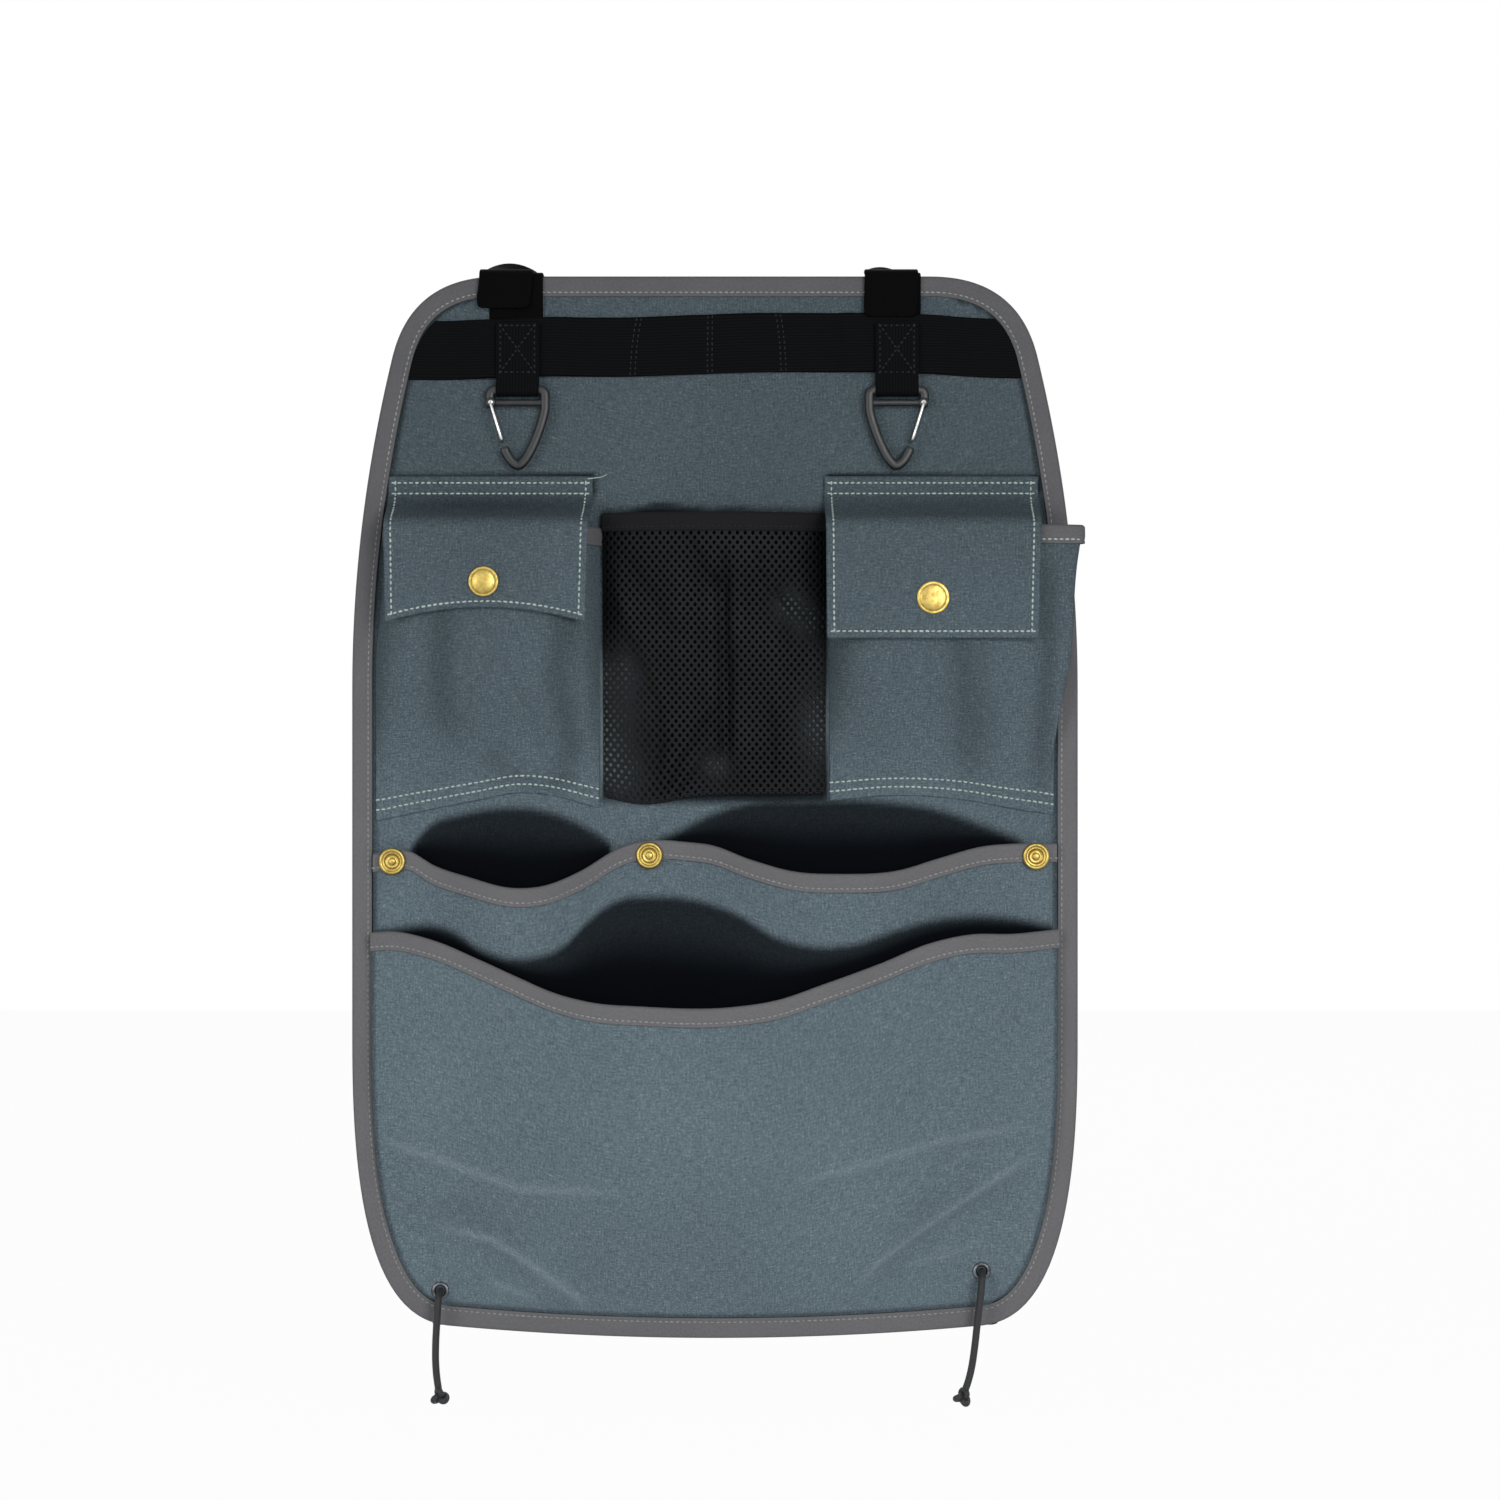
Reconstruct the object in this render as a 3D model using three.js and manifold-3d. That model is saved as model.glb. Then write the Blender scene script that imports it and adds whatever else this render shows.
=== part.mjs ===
import * as THREE from "three";
import { mergeVertices } from "three/addons/utils/BufferGeometryUtils.js";
import Module from "manifold-3d";

const wasm = await Module();
wasm.setup();

// A car seat organizer that hangs behind a seat from the two posts of its headrest.
// Millimetres, +Z up, the front faces -Y. The origin is on the centre line, at the height of the
// panel's top edge and on its back face. A drop is a distance below the top edge.

// Clearances
const clearance = 0.3; // between pieces that touch on the real object
const seamGap = 0.6; // between a pocket's edge and the binding beside it

// Cloth and tape
const clothThickness = 1.2;
const tapeThickness = 1.0;
const meshThickness = 1.2;

// Back panel
const panelThickness = 2.4;
const panelHalfWidth = 203;
const panelHeight = 594;
const topHalfWidth = 180.5; // at the foot of the top corners
const topCornerDrop = 45;
const topCornerRun = 60; // from the foot of a top corner in to the straight top edge
const shoulderDrop = 230; // where the sides become straight
const sideEndDrop = 430; // where the bottom corners begin
const bottomCornerRun = 53; // from a straight side in to the bottom edge
const bottomBow = 7; // how much lower the middle of the bottom edge is
const bindingWidth = 11.5;

// Ladder webbing across the top
const ladderDrop = 24;
const ladderWidth = 32;
const ladderThickness = 1.6;
const ladderStitches = [-48, -3, 40]; // places across the panel where it is sewn down

// Hanging straps
const strapWidth = 30;
const strapThickness = 1.6;
const strapPlaces = { left: -111, right: 100 };
const strapRootDrop = 50;
const strapEndDrop = 18.5;
const strapBend = 4; // bend over the top edge
const postRadius = 7;
const postDistance = 78; // from the panel's back to the headrest posts

// Carabiner tabs and carabiners
const tabPlaces = { left: -110, right: 101.5 };
const tabWidth = 24;
const tabThickness = 1.2;
const tabDrop = 27;
const hangerReach = 8.4; // from the ladder webbing down to the carabiner's top bar
const barRadius = 2.1;
const frameHalfWidth = 15.3; // to the middle of its sides
const frameLength = 42; // from the top bar to the middle of the tip
const crossbarDrop = 7; // below the top bar
const crossbarRadius = 1.4;
const noseDrop = 31.8;
const noseReach = 7.6; // beside the middle, on the gate's side
const gateWireRadius = 0.9;
const gatePivotReach = 15;
const gateEndGap = 0.6; // between the gate's end and the nose

// Upper pockets: two pouches with snapped flaps, and a mesh pocket between them
const pouchRimDrop = 142;
const pouchBottomDrop = 294;
const pouchInner = { left: -65, right: 64.5 };
const pouchDepth = { left: 24, right: 26 };
const pouchLean = { left: 3, right: 46 }; // how far the outer gusset is drawn sideways at the rim
const pouchArch = { left: 9, right: 5 }; // how far its bottom edge arches up
const pouchSquareness = 7;
const flapDrop = 112.6;
const flapSeam = 9; // height of the flap's sewn band
const flapThickness = 1.5;
const flapInner = { left: -68, right: 63 };
const flapFlare = { left: 4.4, right: 3.4 }; // how much wider it is below its sewn band
const flapLength = { left: 81.4, right: 90.4 };
const flapArch = { left: 8, right: 0 };
const snapShift = { left: -1.6, right: -1.5 }; // from the middle of the flap's sewn band
const snapDrop = { left: 59.9, right: 68.8 }; // below the flap's top edge
const capRadius = { left: 8.4, right: 9 };
const capHeight = { left: 3.2, right: 2.2 };
const socketRadius = 6.3;
const socketHeight = 1.9;
const studRadius = 5.8;
const studHeight = 0.9;
const nibRadius = 2.4;
const meshRimDrop = 134;
const meshBottomDrop = 296;
const meshDepth = 13;
const meshFold = 1.6; // height of its gathered folds
const meshFolds = 4;
const meshColumns = 8;
const meshRows = 6;
const meshHole = 0.66; // share of a cell that its hole takes

// Middle pocket: two compartments, held to the panel by three ring snaps
const middleEndDrop = 334; // rim height at its ends
const middleBottomDrop = 462;
const middleDepth = 20;
const middleStand = 5.2; // the rim's distance in front of its sewn edge at the snaps
const middleSag = { left: 15, right: 6 };
const ringSnapInset = { left: 10.8, right: 11.6 }; // from the pocket's side edges
const dividerPlace = -36.4; // the middle snap and the seam between the compartments
const ringSnapDrop = { left: 327, centre: 323.7, right: 324.2 };
const ringSnapRadius = 7.5;
const ringSnapHeight = 2.4;
const ringPostRadius = 1.9;
const rimStudHeight = 2.4;

// Lower pocket, across the whole width
const lowerRimDrop = 366; // at its ends
const lowerSag = 39; // how much lower the rim is in the middle
const lowerDepth = 30;
const lowerStand = 5.4;
const rimTapeWidth = 10.5;

// Grommets and elastic cords
const grommetInset = { left: 49.6, right: 54 }; // from the panel's sides
const grommetRise = { left: 27, right: 37.9 }; // above the panel's lowest point
const grommetRadius = 5;
const barrelRadius = 3.3;
const boreRadius = 2.6;
const flangeHeight = 1.1;
const barrelProud = 1.5; // behind the panel
const cordRadius = 2;
const knotRadius = 5.5;
const knotHeight = 9;
const stopperRadius = 4.8;
const stopperHeight = 7;

// Fineness of the curved pieces
const curveSteps = 7; // on each curve of the panel's outline
const roundSides = 10;
const wireSides = 8;
const frameSides = 6;

// Places that follow from the sizes
const panelFront = -panelThickness;
const bindingFront = panelFront - clearance - tapeThickness;
const clothOnPanel = panelThickness + clearance + clothThickness / 2;
const ladderOnPanel = panelThickness + clearance + ladderThickness / 2;
const bottomFlatHalf = panelHalfWidth - bottomCornerRun;
const grommetPlaces = {
  left: [grommetInset.left - panelHalfWidth, grommetRise.left - panelHeight],
  right: [panelHalfWidth - grommetInset.right, grommetRise.right - panelHeight],
};

const colours = {
  canvas: [0x56676f, 0.9, 0],
  binding: [0x6b6b6d, 0.85, 0],
  webbing: [0x121315, 0.8, 0],
  strap: [0x0b0b0c, 0.95, 0],
  mesh: [0x17191c, 0.85, 0],
  plastic: [0x22262a, 0.5, 0],
  steel: [0x8d9194, 0.3, 1],
  brass: [0xa98c45, 0.35, 1],
  nickel: [0x2a2b2d, 0.3, 1],
  elastic: [0x161618, 0.7, 0],
};

const group = new THREE.Group();

function add(name, geometry, finish) {
  const [color, roughness, metalness] = colours[finish];
  const mesh = new THREE.Mesh(geometry, new THREE.MeshStandardMaterial({ color, roughness, metalness }));
  mesh.name = name;
  group.add(mesh);
  return mesh;
}

const vec = (x, y, z) => new THREE.Vector3(x, y, z);
const lerp = THREE.MathUtils.lerp;
const smooth = (value, from, to) => THREE.MathUtils.smoothstep(value, from, to);

// A closed geometry from points and triangles, with its faces turned outwards.
function solid(points, triangles) {
  const positions = new Float32Array(points.flatMap((p) => [p.x, p.y, p.z]));
  let volume = 0;
  for (let i = 0; i < triangles.length; i += 3) {
    const [a, b, c] = [points[triangles[i]], points[triangles[i + 1]], points[triangles[i + 2]]];
    volume += a.dot(vec(0, 0, 0).crossVectors(b, c));
  }
  const index = volume < 0 ? triangles.slice().reverse() : triangles;
  const geometry = new THREE.BufferGeometry();
  geometry.setAttribute("position", new THREE.BufferAttribute(positions, 3));
  geometry.setIndex(index);
  return geometry;
}

// Unit normal of a surface at(u, v), by small steps that stay inside 0 to 1.
function surfaceNormal(at, u, v) {
  const step = 0.002;
  const [u0, u1] = [Math.max(0, u - step), Math.min(1, u + step)];
  const [v0, v1] = [Math.max(0, v - step), Math.min(1, v + step)];
  const along = at(u1, v).sub(at(u0, v));
  const down = at(u, v1).sub(at(u, v0));
  return along.cross(down).normalize();
}

// A cloth sheet of one thickness on the surface at(u, v), with u and v from 0 to 1.
function sheet(columns, rows, thickness, at) {
  const points = [];
  const triangles = [];
  const layer = (columns + 1) * (rows + 1);
  for (const side of [0.5, -0.5]) {
    for (let j = 0; j <= rows; j++) {
      for (let i = 0; i <= columns; i++) {
        const [u, v] = [i / columns, j / rows];
        points.push(at(u, v).addScaledVector(surfaceNormal(at, u, v), side * thickness));
      }
    }
  }
  const place = (i, j) => j * (columns + 1) + i;
  const quad = (a, b, c, d) => triangles.push(a, b, c, a, c, d);
  for (let j = 0; j < rows; j++) {
    for (let i = 0; i < columns; i++) {
      const [a, b, c, d] = [place(i, j), place(i + 1, j), place(i + 1, j + 1), place(i, j + 1)];
      quad(a, b, c, d);
      quad(d + layer, c + layer, b + layer, a + layer);
    }
  }
  const wall = (a, b) => quad(b, a, a + layer, b + layer);
  for (let i = 0; i < columns; i++) {
    wall(place(i, 0), place(i + 1, 0));
    wall(place(i + 1, rows), place(i, rows));
  }
  for (let j = 0; j < rows; j++) {
    wall(place(0, j + 1), place(0, j));
    wall(place(columns, j), place(columns, j + 1));
  }
  return solid(points, triangles);
}

// A net of the same kind, with one diamond hole in every cell.
function net(columns, rows, thickness, hole, at) {
  const points = [];
  const triangles = [];
  const corners = (columns + 1) * (rows + 1);
  const layer = corners + columns * rows * 4;
  const diamond = [[0, -1], [1, 0], [0, 1], [-1, 0]];
  for (const side of [0.5, -0.5]) {
    const put = (u, v) => {
      points.push(at(u, v).addScaledVector(surfaceNormal(at, u, v), side * thickness));
    };
    for (let j = 0; j <= rows; j++) {
      for (let i = 0; i <= columns; i++) put(i / columns, j / rows);
    }
    for (let j = 0; j < rows; j++) {
      for (let i = 0; i < columns; i++) {
        for (const [x, y] of diamond) {
          put((i + 0.5 + (x * hole) / 2) / columns, (j + 0.5 + (y * hole) / 2) / rows);
        }
      }
    }
  }
  const place = (i, j) => j * (columns + 1) + i;
  const both = (a, b, c) => triangles.push(a, b, c, c + layer, b + layer, a + layer);
  const wall = (a, b) => triangles.push(b, a, a + layer, b, a + layer, b + layer);
  for (let j = 0; j < rows; j++) {
    for (let i = 0; i < columns; i++) {
      const cell = [place(i, j), place(i + 1, j), place(i + 1, j + 1), place(i, j + 1)];
      const first = corners + (j * columns + i) * 4;
      for (let k = 0; k < 4; k++) {
        const next = (k + 1) % 4;
        both(cell[k], cell[next], first + k);
        both(cell[next], first + next, first + k);
        wall(first + next, first + k);
      }
    }
  }
  for (let i = 0; i < columns; i++) {
    wall(place(i, 0), place(i + 1, 0));
    wall(place(i + 1, rows), place(i, rows));
  }
  for (let j = 0; j < rows; j++) {
    wall(place(0, j + 1), place(0, j));
    wall(place(columns, j), place(columns, j + 1));
  }
  return solid(points, triangles);
}

// A section of [a, b] pairs swept along a path. a runs along sides[i], b across it and the path.
// The section stands square to the path, unless it is upright and keeps its sides as they are.
function sweep(path, sides, section, closed = false, upright = false) {
  const points = [];
  const triangles = [];
  const count = path.length;
  const size = section.length;
  for (let i = 0; i < count; i++) {
    const before = path[closed ? (i + count - 1) % count : Math.max(0, i - 1)];
    const after = path[closed ? (i + 1) % count : Math.min(count - 1, i + 1)];
    const tangent = after.clone().sub(before).normalize();
    const lean = upright ? 0 : -sides[i].dot(tangent);
    const side = sides[i].clone().addScaledVector(tangent, lean).normalize();
    const across = tangent.clone().cross(side).normalize();
    for (const [a, b] of section) {
      points.push(path[i].clone().addScaledVector(side, a).addScaledVector(across, b));
    }
  }
  const spans = closed ? count : count - 1;
  for (let i = 0; i < spans; i++) {
    const next = (i + 1) % count;
    for (let k = 0; k < size; k++) {
      const l = (k + 1) % size;
      triangles.push(i * size + k, i * size + l, next * size + l);
      triangles.push(i * size + k, next * size + l, next * size + k);
    }
  }
  if (!closed) {
    const flat = section.map(([a, b]) => new THREE.Vector2(a, b));
    const last = (count - 1) * size;
    for (const [a, b, c] of THREE.ShapeUtils.triangulateShape(flat, [])) {
      triangles.push(c, b, a, last + a, last + b, last + c);
    }
  }
  return solid(points, triangles);
}

const rectangle = (width, height) => [
  [-width / 2, -height / 2],
  [width / 2, -height / 2],
  [width / 2, height / 2],
  [-width / 2, height / 2],
];

function disc(radius, sides) {
  const section = [];
  for (let k = 0; k < sides; k++) {
    const angle = (2 * Math.PI * k) / sides;
    section.push([radius * Math.cos(angle), radius * Math.sin(angle)]);
  }
  return section;
}

// A folded tape that covers an edge: a counts from its fold, b from the middle of the cloth.
function foldedTape(width, covered) {
  const inner = covered / 2 + clearance;
  const outer = inner + tapeThickness;
  return [
    [0, -outer], [width, -outer], [width, -inner], [tapeThickness, -inner],
    [tapeThickness, inner], [width, inner], [width, outer], [0, outer],
  ];
}

// A turned piece whose axis points to -Y. The profile holds [radius, height] pairs.
function turned(profile, x, y, z) {
  const outline = profile.map(([radius, height]) => new THREE.Vector2(radius, height));
  const geometry = new THREE.LatheGeometry(outline, roundSides);
  geometry.rotateX(Math.PI);
  geometry.translate(x, y, z);
  geometry.deleteAttribute("normal");
  geometry.deleteAttribute("uv");
  const merged = mergeVertices(geometry, 1e-4);
  return closedCopy(merged);
}

// Drops the empty triangles at a pole and turns the faces outwards.
function closedCopy(geometry) {
  const position = geometry.getAttribute("position");
  const index = geometry.getIndex();
  const points = [];
  for (let i = 0; i < position.count; i++) points.push(vec(0, 0, 0).fromBufferAttribute(position, i));
  const triangles = [];
  for (let i = 0; i < index.count; i += 3) {
    const [a, b, c] = [index.getX(i), index.getX(i + 1), index.getX(i + 2)];
    if (a !== b && b !== c && c !== a) triangles.push(a, b, c);
  }
  return solid(points, triangles);
}

function toManifold(geometry) {
  const plain = geometry.clone();
  plain.deleteAttribute("normal");
  plain.deleteAttribute("uv");
  const merged = mergeVertices(plain, 1e-4);
  const vertProperties = new Float32Array(merged.getAttribute("position").array);
  const triVerts = new Uint32Array(merged.getIndex().array);
  return new wasm.Manifold(new wasm.Mesh({ numProp: 3, vertProperties, triVerts }));
}

function fromManifold(manifold) {
  const mesh = manifold.getMesh();
  const geometry = new THREE.BufferGeometry();
  geometry.setAttribute("position", new THREE.BufferAttribute(new Float32Array(mesh.vertProperties), 3));
  geometry.setIndex(new THREE.BufferAttribute(new Uint32Array(mesh.triVerts), 1));
  return geometry;
}

const cut = (geometry, tools) =>
  fromManifold(tools.reduce((body, tool) => body.subtract(toManifold(tool)), toManifold(geometry)));

const join = (geometries) =>
  fromManifold(geometries.map(toManifold).reduce((body, other) => body.add(other)));

// A drill along Y.
function drill(radius, x, z, length) {
  const geometry = new THREE.CylinderGeometry(radius, radius, length, roundSides);
  geometry.translate(x, 0, z);
  return geometry;
}

// The outline of the panel

function outlineHalf() {
  const half = new THREE.Path();
  const slope = (panelHalfWidth - topHalfWidth) / (shoulderDrop / 2 - topCornerDrop / 2);
  const bottom = -panelHeight;
  half.moveTo(0, 0);
  half.lineTo(topHalfWidth - topCornerRun, 0);
  half.quadraticCurveTo(topHalfWidth - slope * topCornerDrop, 0, topHalfWidth, -topCornerDrop);
  half.quadraticCurveTo(panelHalfWidth, -0.6 * shoulderDrop, panelHalfWidth, -shoulderDrop);
  half.lineTo(panelHalfWidth, -sideEndDrop);
  const cornerRise = panelHeight - bottomBow - sideEndDrop;
  half.bezierCurveTo(
    panelHalfWidth, -sideEndDrop - 0.45 * cornerRise,
    lerp(bottomFlatHalf, panelHalfWidth, 0.87), bottom + bottomBow + 0.03 * cornerRise,
    bottomFlatHalf, bottom + bottomBow,
  );
  half.quadraticCurveTo(bottomFlatHalf / 2, bottom, 0, bottom);
  return half.getPoints(curveSteps);
}

const rightEdge = outlineHalf();

function outlineLoop(inset) {
  const left = rightEdge.slice(1, -1).reverse().map((p) => new THREE.Vector2(-p.x, p.y));
  const loop = [...rightEdge, ...left];
  return loop.map((point, i) => {
    const before = loop[(i + loop.length - 1) % loop.length];
    const after = loop[(i + 1) % loop.length];
    const along = after.clone().sub(before).normalize();
    return new THREE.Vector2(point.x + along.y * inset, point.y - along.x * inset);
  });
}

// The inner edge of the binding, with room for what ends beside it.
const innerEdge = outlineLoop(bindingWidth + seamGap).slice(0, rightEdge.length);

// Half the width inside the binding at a height, below the top corners.
function innerEdgeAt(z) {
  const span = innerEdge.findIndex((p) => p.y < z);
  if (span < 1) return innerEdge[innerEdge.length - 1].x;
  const [above, below] = [innerEdge[span - 1], innerEdge[span]];
  return lerp(above.x, below.x, (above.y - z) / (above.y - below.y));
}

const middleEdge = Math.min(innerEdgeAt(-middleEndDrop), innerEdgeAt(-middleBottomDrop));
const ringSnapPlaces = {
  left: [ringSnapInset.left - middleEdge, -ringSnapDrop.left],
  centre: [dividerPlace, -ringSnapDrop.centre],
  right: [middleEdge - ringSnapInset.right, -ringSnapDrop.right],
};

// The lowest point of the outline at a distance from the centre line.
function bottomAt(x) {
  const share = Math.min(1, Math.abs(x) / bottomFlatHalf);
  return -panelHeight + bottomBow * share * share;
}

function makePanel() {
  const inset = tapeThickness + clearance;
  const plate = new THREE.ExtrudeGeometry(new THREE.Shape(outlineLoop(inset)), {
    depth: panelThickness, bevelEnabled: false, steps: 1,
  });
  plate.rotateX(Math.PI / 2);
  const holes = Object.values(grommetPlaces).map(([x, z]) =>
    drill(barrelRadius + clearance, x, z, 6 * panelThickness));
  add("back_panel", cut(plate, holes), "canvas");
}

function makePanelBinding() {
  const loop = outlineLoop(0);
  const path = loop.map((p) => vec(p.x, -panelThickness / 2, p.y));
  const inner = outlineLoop(1);
  const sides = loop.map((p, i) => vec(inner[i].x - p.x, 0, inner[i].y - p.y));
  add("panel_binding", sweep(path, sides, foldedTape(bindingWidth, panelThickness), true), "binding");
}

// Hanging straps and the ladder webbing

// How far the ladder webbing is lifted by the strap root under it.
function ladderLift(x) {
  const lift = strapThickness + clearance;
  const margin = 10;
  const nearest = Math.min(...Object.values(strapPlaces).map((place) => Math.abs(x - place)));
  return lift * (1 - smooth(nearest, strapWidth / 2 + margin, strapWidth / 2 + 2 * margin));
}

// Between its stitched lines the ladder webbing stands a little off the panel.
function ladderLoop(x) {
  const stand = 1.2;
  for (let i = 0; i + 1 < ladderStitches.length; i++) {
    const [from, to] = [ladderStitches[i], ladderStitches[i + 1]];
    if (x > from && x < to) return stand * Math.sin((Math.PI * (x - from)) / (to - from));
  }
  return 0;
}

function makeLadder() {
  const columns = 34;
  const at = (u, v) => {
    const z = -ladderDrop - v * ladderWidth;
    const x = lerp(-1, 1, u) * innerEdgeAt(z);
    return vec(x, -ladderOnPanel - ladderLift(x) - ladderLoop(x), z);
  };
  add("ladder_webbing", sheet(columns, 1, ladderThickness, at), "webbing");
}

const strapFront = bindingFront - clearance - strapThickness / 2;
const layerPitch = strapThickness + clearance;
const bendCentreY = strapFront + strapBend;
const bendCentreZ = -0.7;

// The strap between the panel and the post: it turns on edge while its two layers part.
function strapRun(x, away) {
  const steps = 10;
  const axisZ = bendCentreZ + strapBend + layerPitch / 2;
  const wide = postRadius + clearance + strapThickness / 2;
  const points = [];
  for (let i = 0; i <= steps; i++) {
    const y = lerp(bendCentreY + 1, postDistance, i / steps);
    const turn = (Math.PI / 2) * smooth(y, 0.06 * postDistance, 0.65 * postDistance);
    const reach = away * lerp(layerPitch / 2, wide, smooth(y, 0.3 * postDistance, 0.8 * postDistance));
    const layer = vec(x + reach * Math.sin(turn), y, axisZ + reach * Math.cos(turn));
    points.push({ at: layer, side: vec(Math.cos(turn), 0, -Math.sin(turn)) });
  }
  return points;
}

function strapBendPoints(x, radius) {
  const steps = 4;
  const points = [];
  for (let i = 0; i <= steps; i++) {
    const angle = (Math.PI / 2) * (i / steps);
    const y = bendCentreY - radius * Math.cos(angle);
    points.push({ at: vec(x, y, bendCentreZ + radius * Math.sin(angle)), side: vec(1, 0, 0) });
  }
  return points;
}

function strapWrap(x) {
  const steps = 8;
  const radius = postRadius + clearance + strapThickness / 2;
  const points = [];
  for (let i = 1; i < steps; i++) {
    const angle = Math.PI * (1 - i / steps);
    const place = vec(x + radius * Math.cos(angle), postDistance + radius * Math.sin(angle), 0);
    place.z = bendCentreZ + strapBend + layerPitch / 2;
    points.push({ at: place, side: vec(0, 0, -1) });
  }
  return points;
}

function makeStrap(name, x) {
  const flat = vec(1, 0, 0);
  const rootY = panelFront - clearance - strapThickness / 2;
  const liftDrop = bindingWidth + 1.5;
  const root = [
    [rootY, -strapRootDrop], [rootY, -ladderDrop - 1], [rootY, -ladderDrop + 3],
    [strapFront, -liftDrop], [strapFront, -bindingWidth / 2],
  ].map(([y, z]) => ({ at: vec(x, y, z), side: flat }));
  const out = strapBend + layerPitch;
  const end = [-bindingWidth / 2, -strapEndDrop].map((z) => ({
    at: vec(x, strapFront - layerPitch, z), side: flat,
  }));
  const path = [
    ...root,
    ...strapBendPoints(x, strapBend),
    ...strapRun(x, -1),
    ...strapWrap(x),
    ...strapRun(x, 1).reverse(),
    ...strapBendPoints(x, out).reverse(),
    ...end,
  ];
  const section = rectangle(strapWidth, strapThickness);
  add(name, sweep(path.map((p) => p.at), path.map((p) => p.side), section), "strap");
}

// Carabiners on their webbing tabs

const tabBackY = -(ladderOnPanel + ladderThickness / 2 + strapThickness + 2 * clearance + tabThickness / 2);
const hangerY = tabBackY - (tabThickness + clearance) / 2;
const hangerZ = -(ladderDrop + ladderWidth + hangerReach);
const tabWrapRadius = barRadius + clearance + tabThickness / 2;

function makeTab(name, x) {
  const frontY = tabBackY - tabThickness - clearance;
  const legEnd = -(ladderDrop + ladderWidth) - 1;
  const steps = 8;
  const points = [[tabBackY, -tabDrop], [tabBackY, legEnd]];
  for (let i = 0; i <= steps; i++) {
    const angle = Math.PI * (i / steps);
    points.push([hangerY + tabWrapRadius * Math.cos(angle), hangerZ - tabWrapRadius * Math.sin(angle)]);
  }
  points.push([frontY, legEnd], [frontY, -tabDrop]);
  const path = points.map(([y, z]) => vec(x, y, z));
  const sides = path.map(() => vec(1, 0, 0));
  add(name, sweep(path, sides, rectangle(tabWidth, tabThickness)), "webbing");
}

// A rounded triangle with its point down. One side is open and is closed by a wire gate.
// gateSide is -1 where the gate is on the left, and 1 on the right.
function frameGeometry(x, gateSide) {
  const corner = 2.7;
  const half = frameHalfWidth;
  const outline = [
    [gatePivotReach - 0.6, -crossbarDrop - 2.6], [gatePivotReach, -crossbarDrop], [half, -corner],
    [half - 0.8, -0.8], [half - corner, 0], [0, 0], [corner - half, 0], [0.8 - half, -0.8],
    [-half, -corner], [-half, -crossbarDrop], [0.06 - half, -0.26 * frameLength],
    [-0.82 * half, -0.5 * frameLength], [-0.56 * half, -0.74 * frameLength],
    [-0.3 * half, -0.91 * frameLength], [-0.04 * half, -frameLength],
    [0.2 * half, -0.95 * frameLength], [noseReach - 1.6, -noseDrop - 3.8], [noseReach, -noseDrop],
  ];
  const place = ([a, z]) => vec(x + gateSide * a, hangerY, hangerZ + z);
  const curve = new THREE.CatmullRomCurve3(outline.map(place), false, "centripetal");
  const path = curve.getPoints(1.5 * (outline.length - 1));
  const sides = path.map(() => vec(0, 1, 0));
  const ring = sweep(path, sides, disc(barRadius, frameSides));
  const barPath = [-half, gatePivotReach].map((a) => place([a, -crossbarDrop]));
  const bar = sweep(barPath, [vec(0, 1, 0), vec(0, 1, 0)], disc(crossbarRadius, frameSides));
  const pivot = place([gatePivotReach, -crossbarDrop]);
  const hole = drill(gateWireRadius + clearance, pivot.x, pivot.z, 4 * barRadius).translate(0, hangerY, 0);
  return cut(join([ring, bar]), [hole]);
}

// A closed wire loop: one leg before the frame, one behind it, and its top through the pivot hole.
function gateGeometry(x, gateSide) {
  const legY = barRadius + clearance + gateWireRadius;
  const bend = 1.4;
  const top = new THREE.Vector2(gatePivotReach, -crossbarDrop);
  const rise = barRadius + gateWireRadius + gateEndGap;
  const end = new THREE.Vector2(noseReach + 0.9, -noseDrop + rise);
  const along = end.clone().sub(top).normalize();
  const corners = [
    [0, -1, 0], [0, -1, 1], [1, -1, 1], [1, -1, 0], [1, 1, 0], [1, 1, 1], [0, 1, 1], [0, 1, 0],
  ];
  const path = corners.map(([atEnd, front, onLeg]) => {
    const from = atEnd ? end.clone().addScaledVector(along, -onLeg * bend)
      : top.clone().addScaledVector(along, onLeg * bend);
    const y = front * (onLeg ? legY : legY - bend);
    return vec(x + gateSide * from.x, hangerY + y, hangerZ + from.y);
  });
  const rounded = [];
  const normal = vec(gateSide * -along.y, 0, along.x);
  for (let i = 0; i < path.length; i++) {
    rounded.push(path[i]);
    const next = path[(i + 1) % path.length];
    if (i % 2 === 0) {
      const atEnd = corners[i][0] === 1;
      const hub = path[i].clone().add(next).multiplyScalar(0.5);
      const away = vec(gateSide * along.x, 0, along.y).multiplyScalar(atEnd ? 1 : -1);
      away.y = corners[i][1];
      rounded.push(hub.addScaledVector(away.normalize(), 0.2 * bend));
    }
  }
  return sweep(rounded, rounded.map(() => normal), disc(gateWireRadius, frameSides), true);
}

function makeCarabiners() {
  for (const [name, x] of Object.entries(tabPlaces)) {
    const gateSide = Math.sign(x);
    makeTab(`${name}_carabiner_tab`, x);
    add(`${name}_carabiner_frame`, frameGeometry(x, gateSide), "plastic");
    add(`${name}_carabiner_gate`, gateGeometry(x, gateSide), "steel");
  }
}

// Pouches with flaps

// Distance in front of the panel, from 0 where the pouch is sewn down to its full depth.
function pouchSwell(name, share, height) {
  const constantTo = 0.42;
  const across = 1 - Math.pow(Math.abs(share), pouchSquareness);
  return pouchDepth[name] * across * (1 - smooth(height, constantTo, 1));
}

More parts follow.
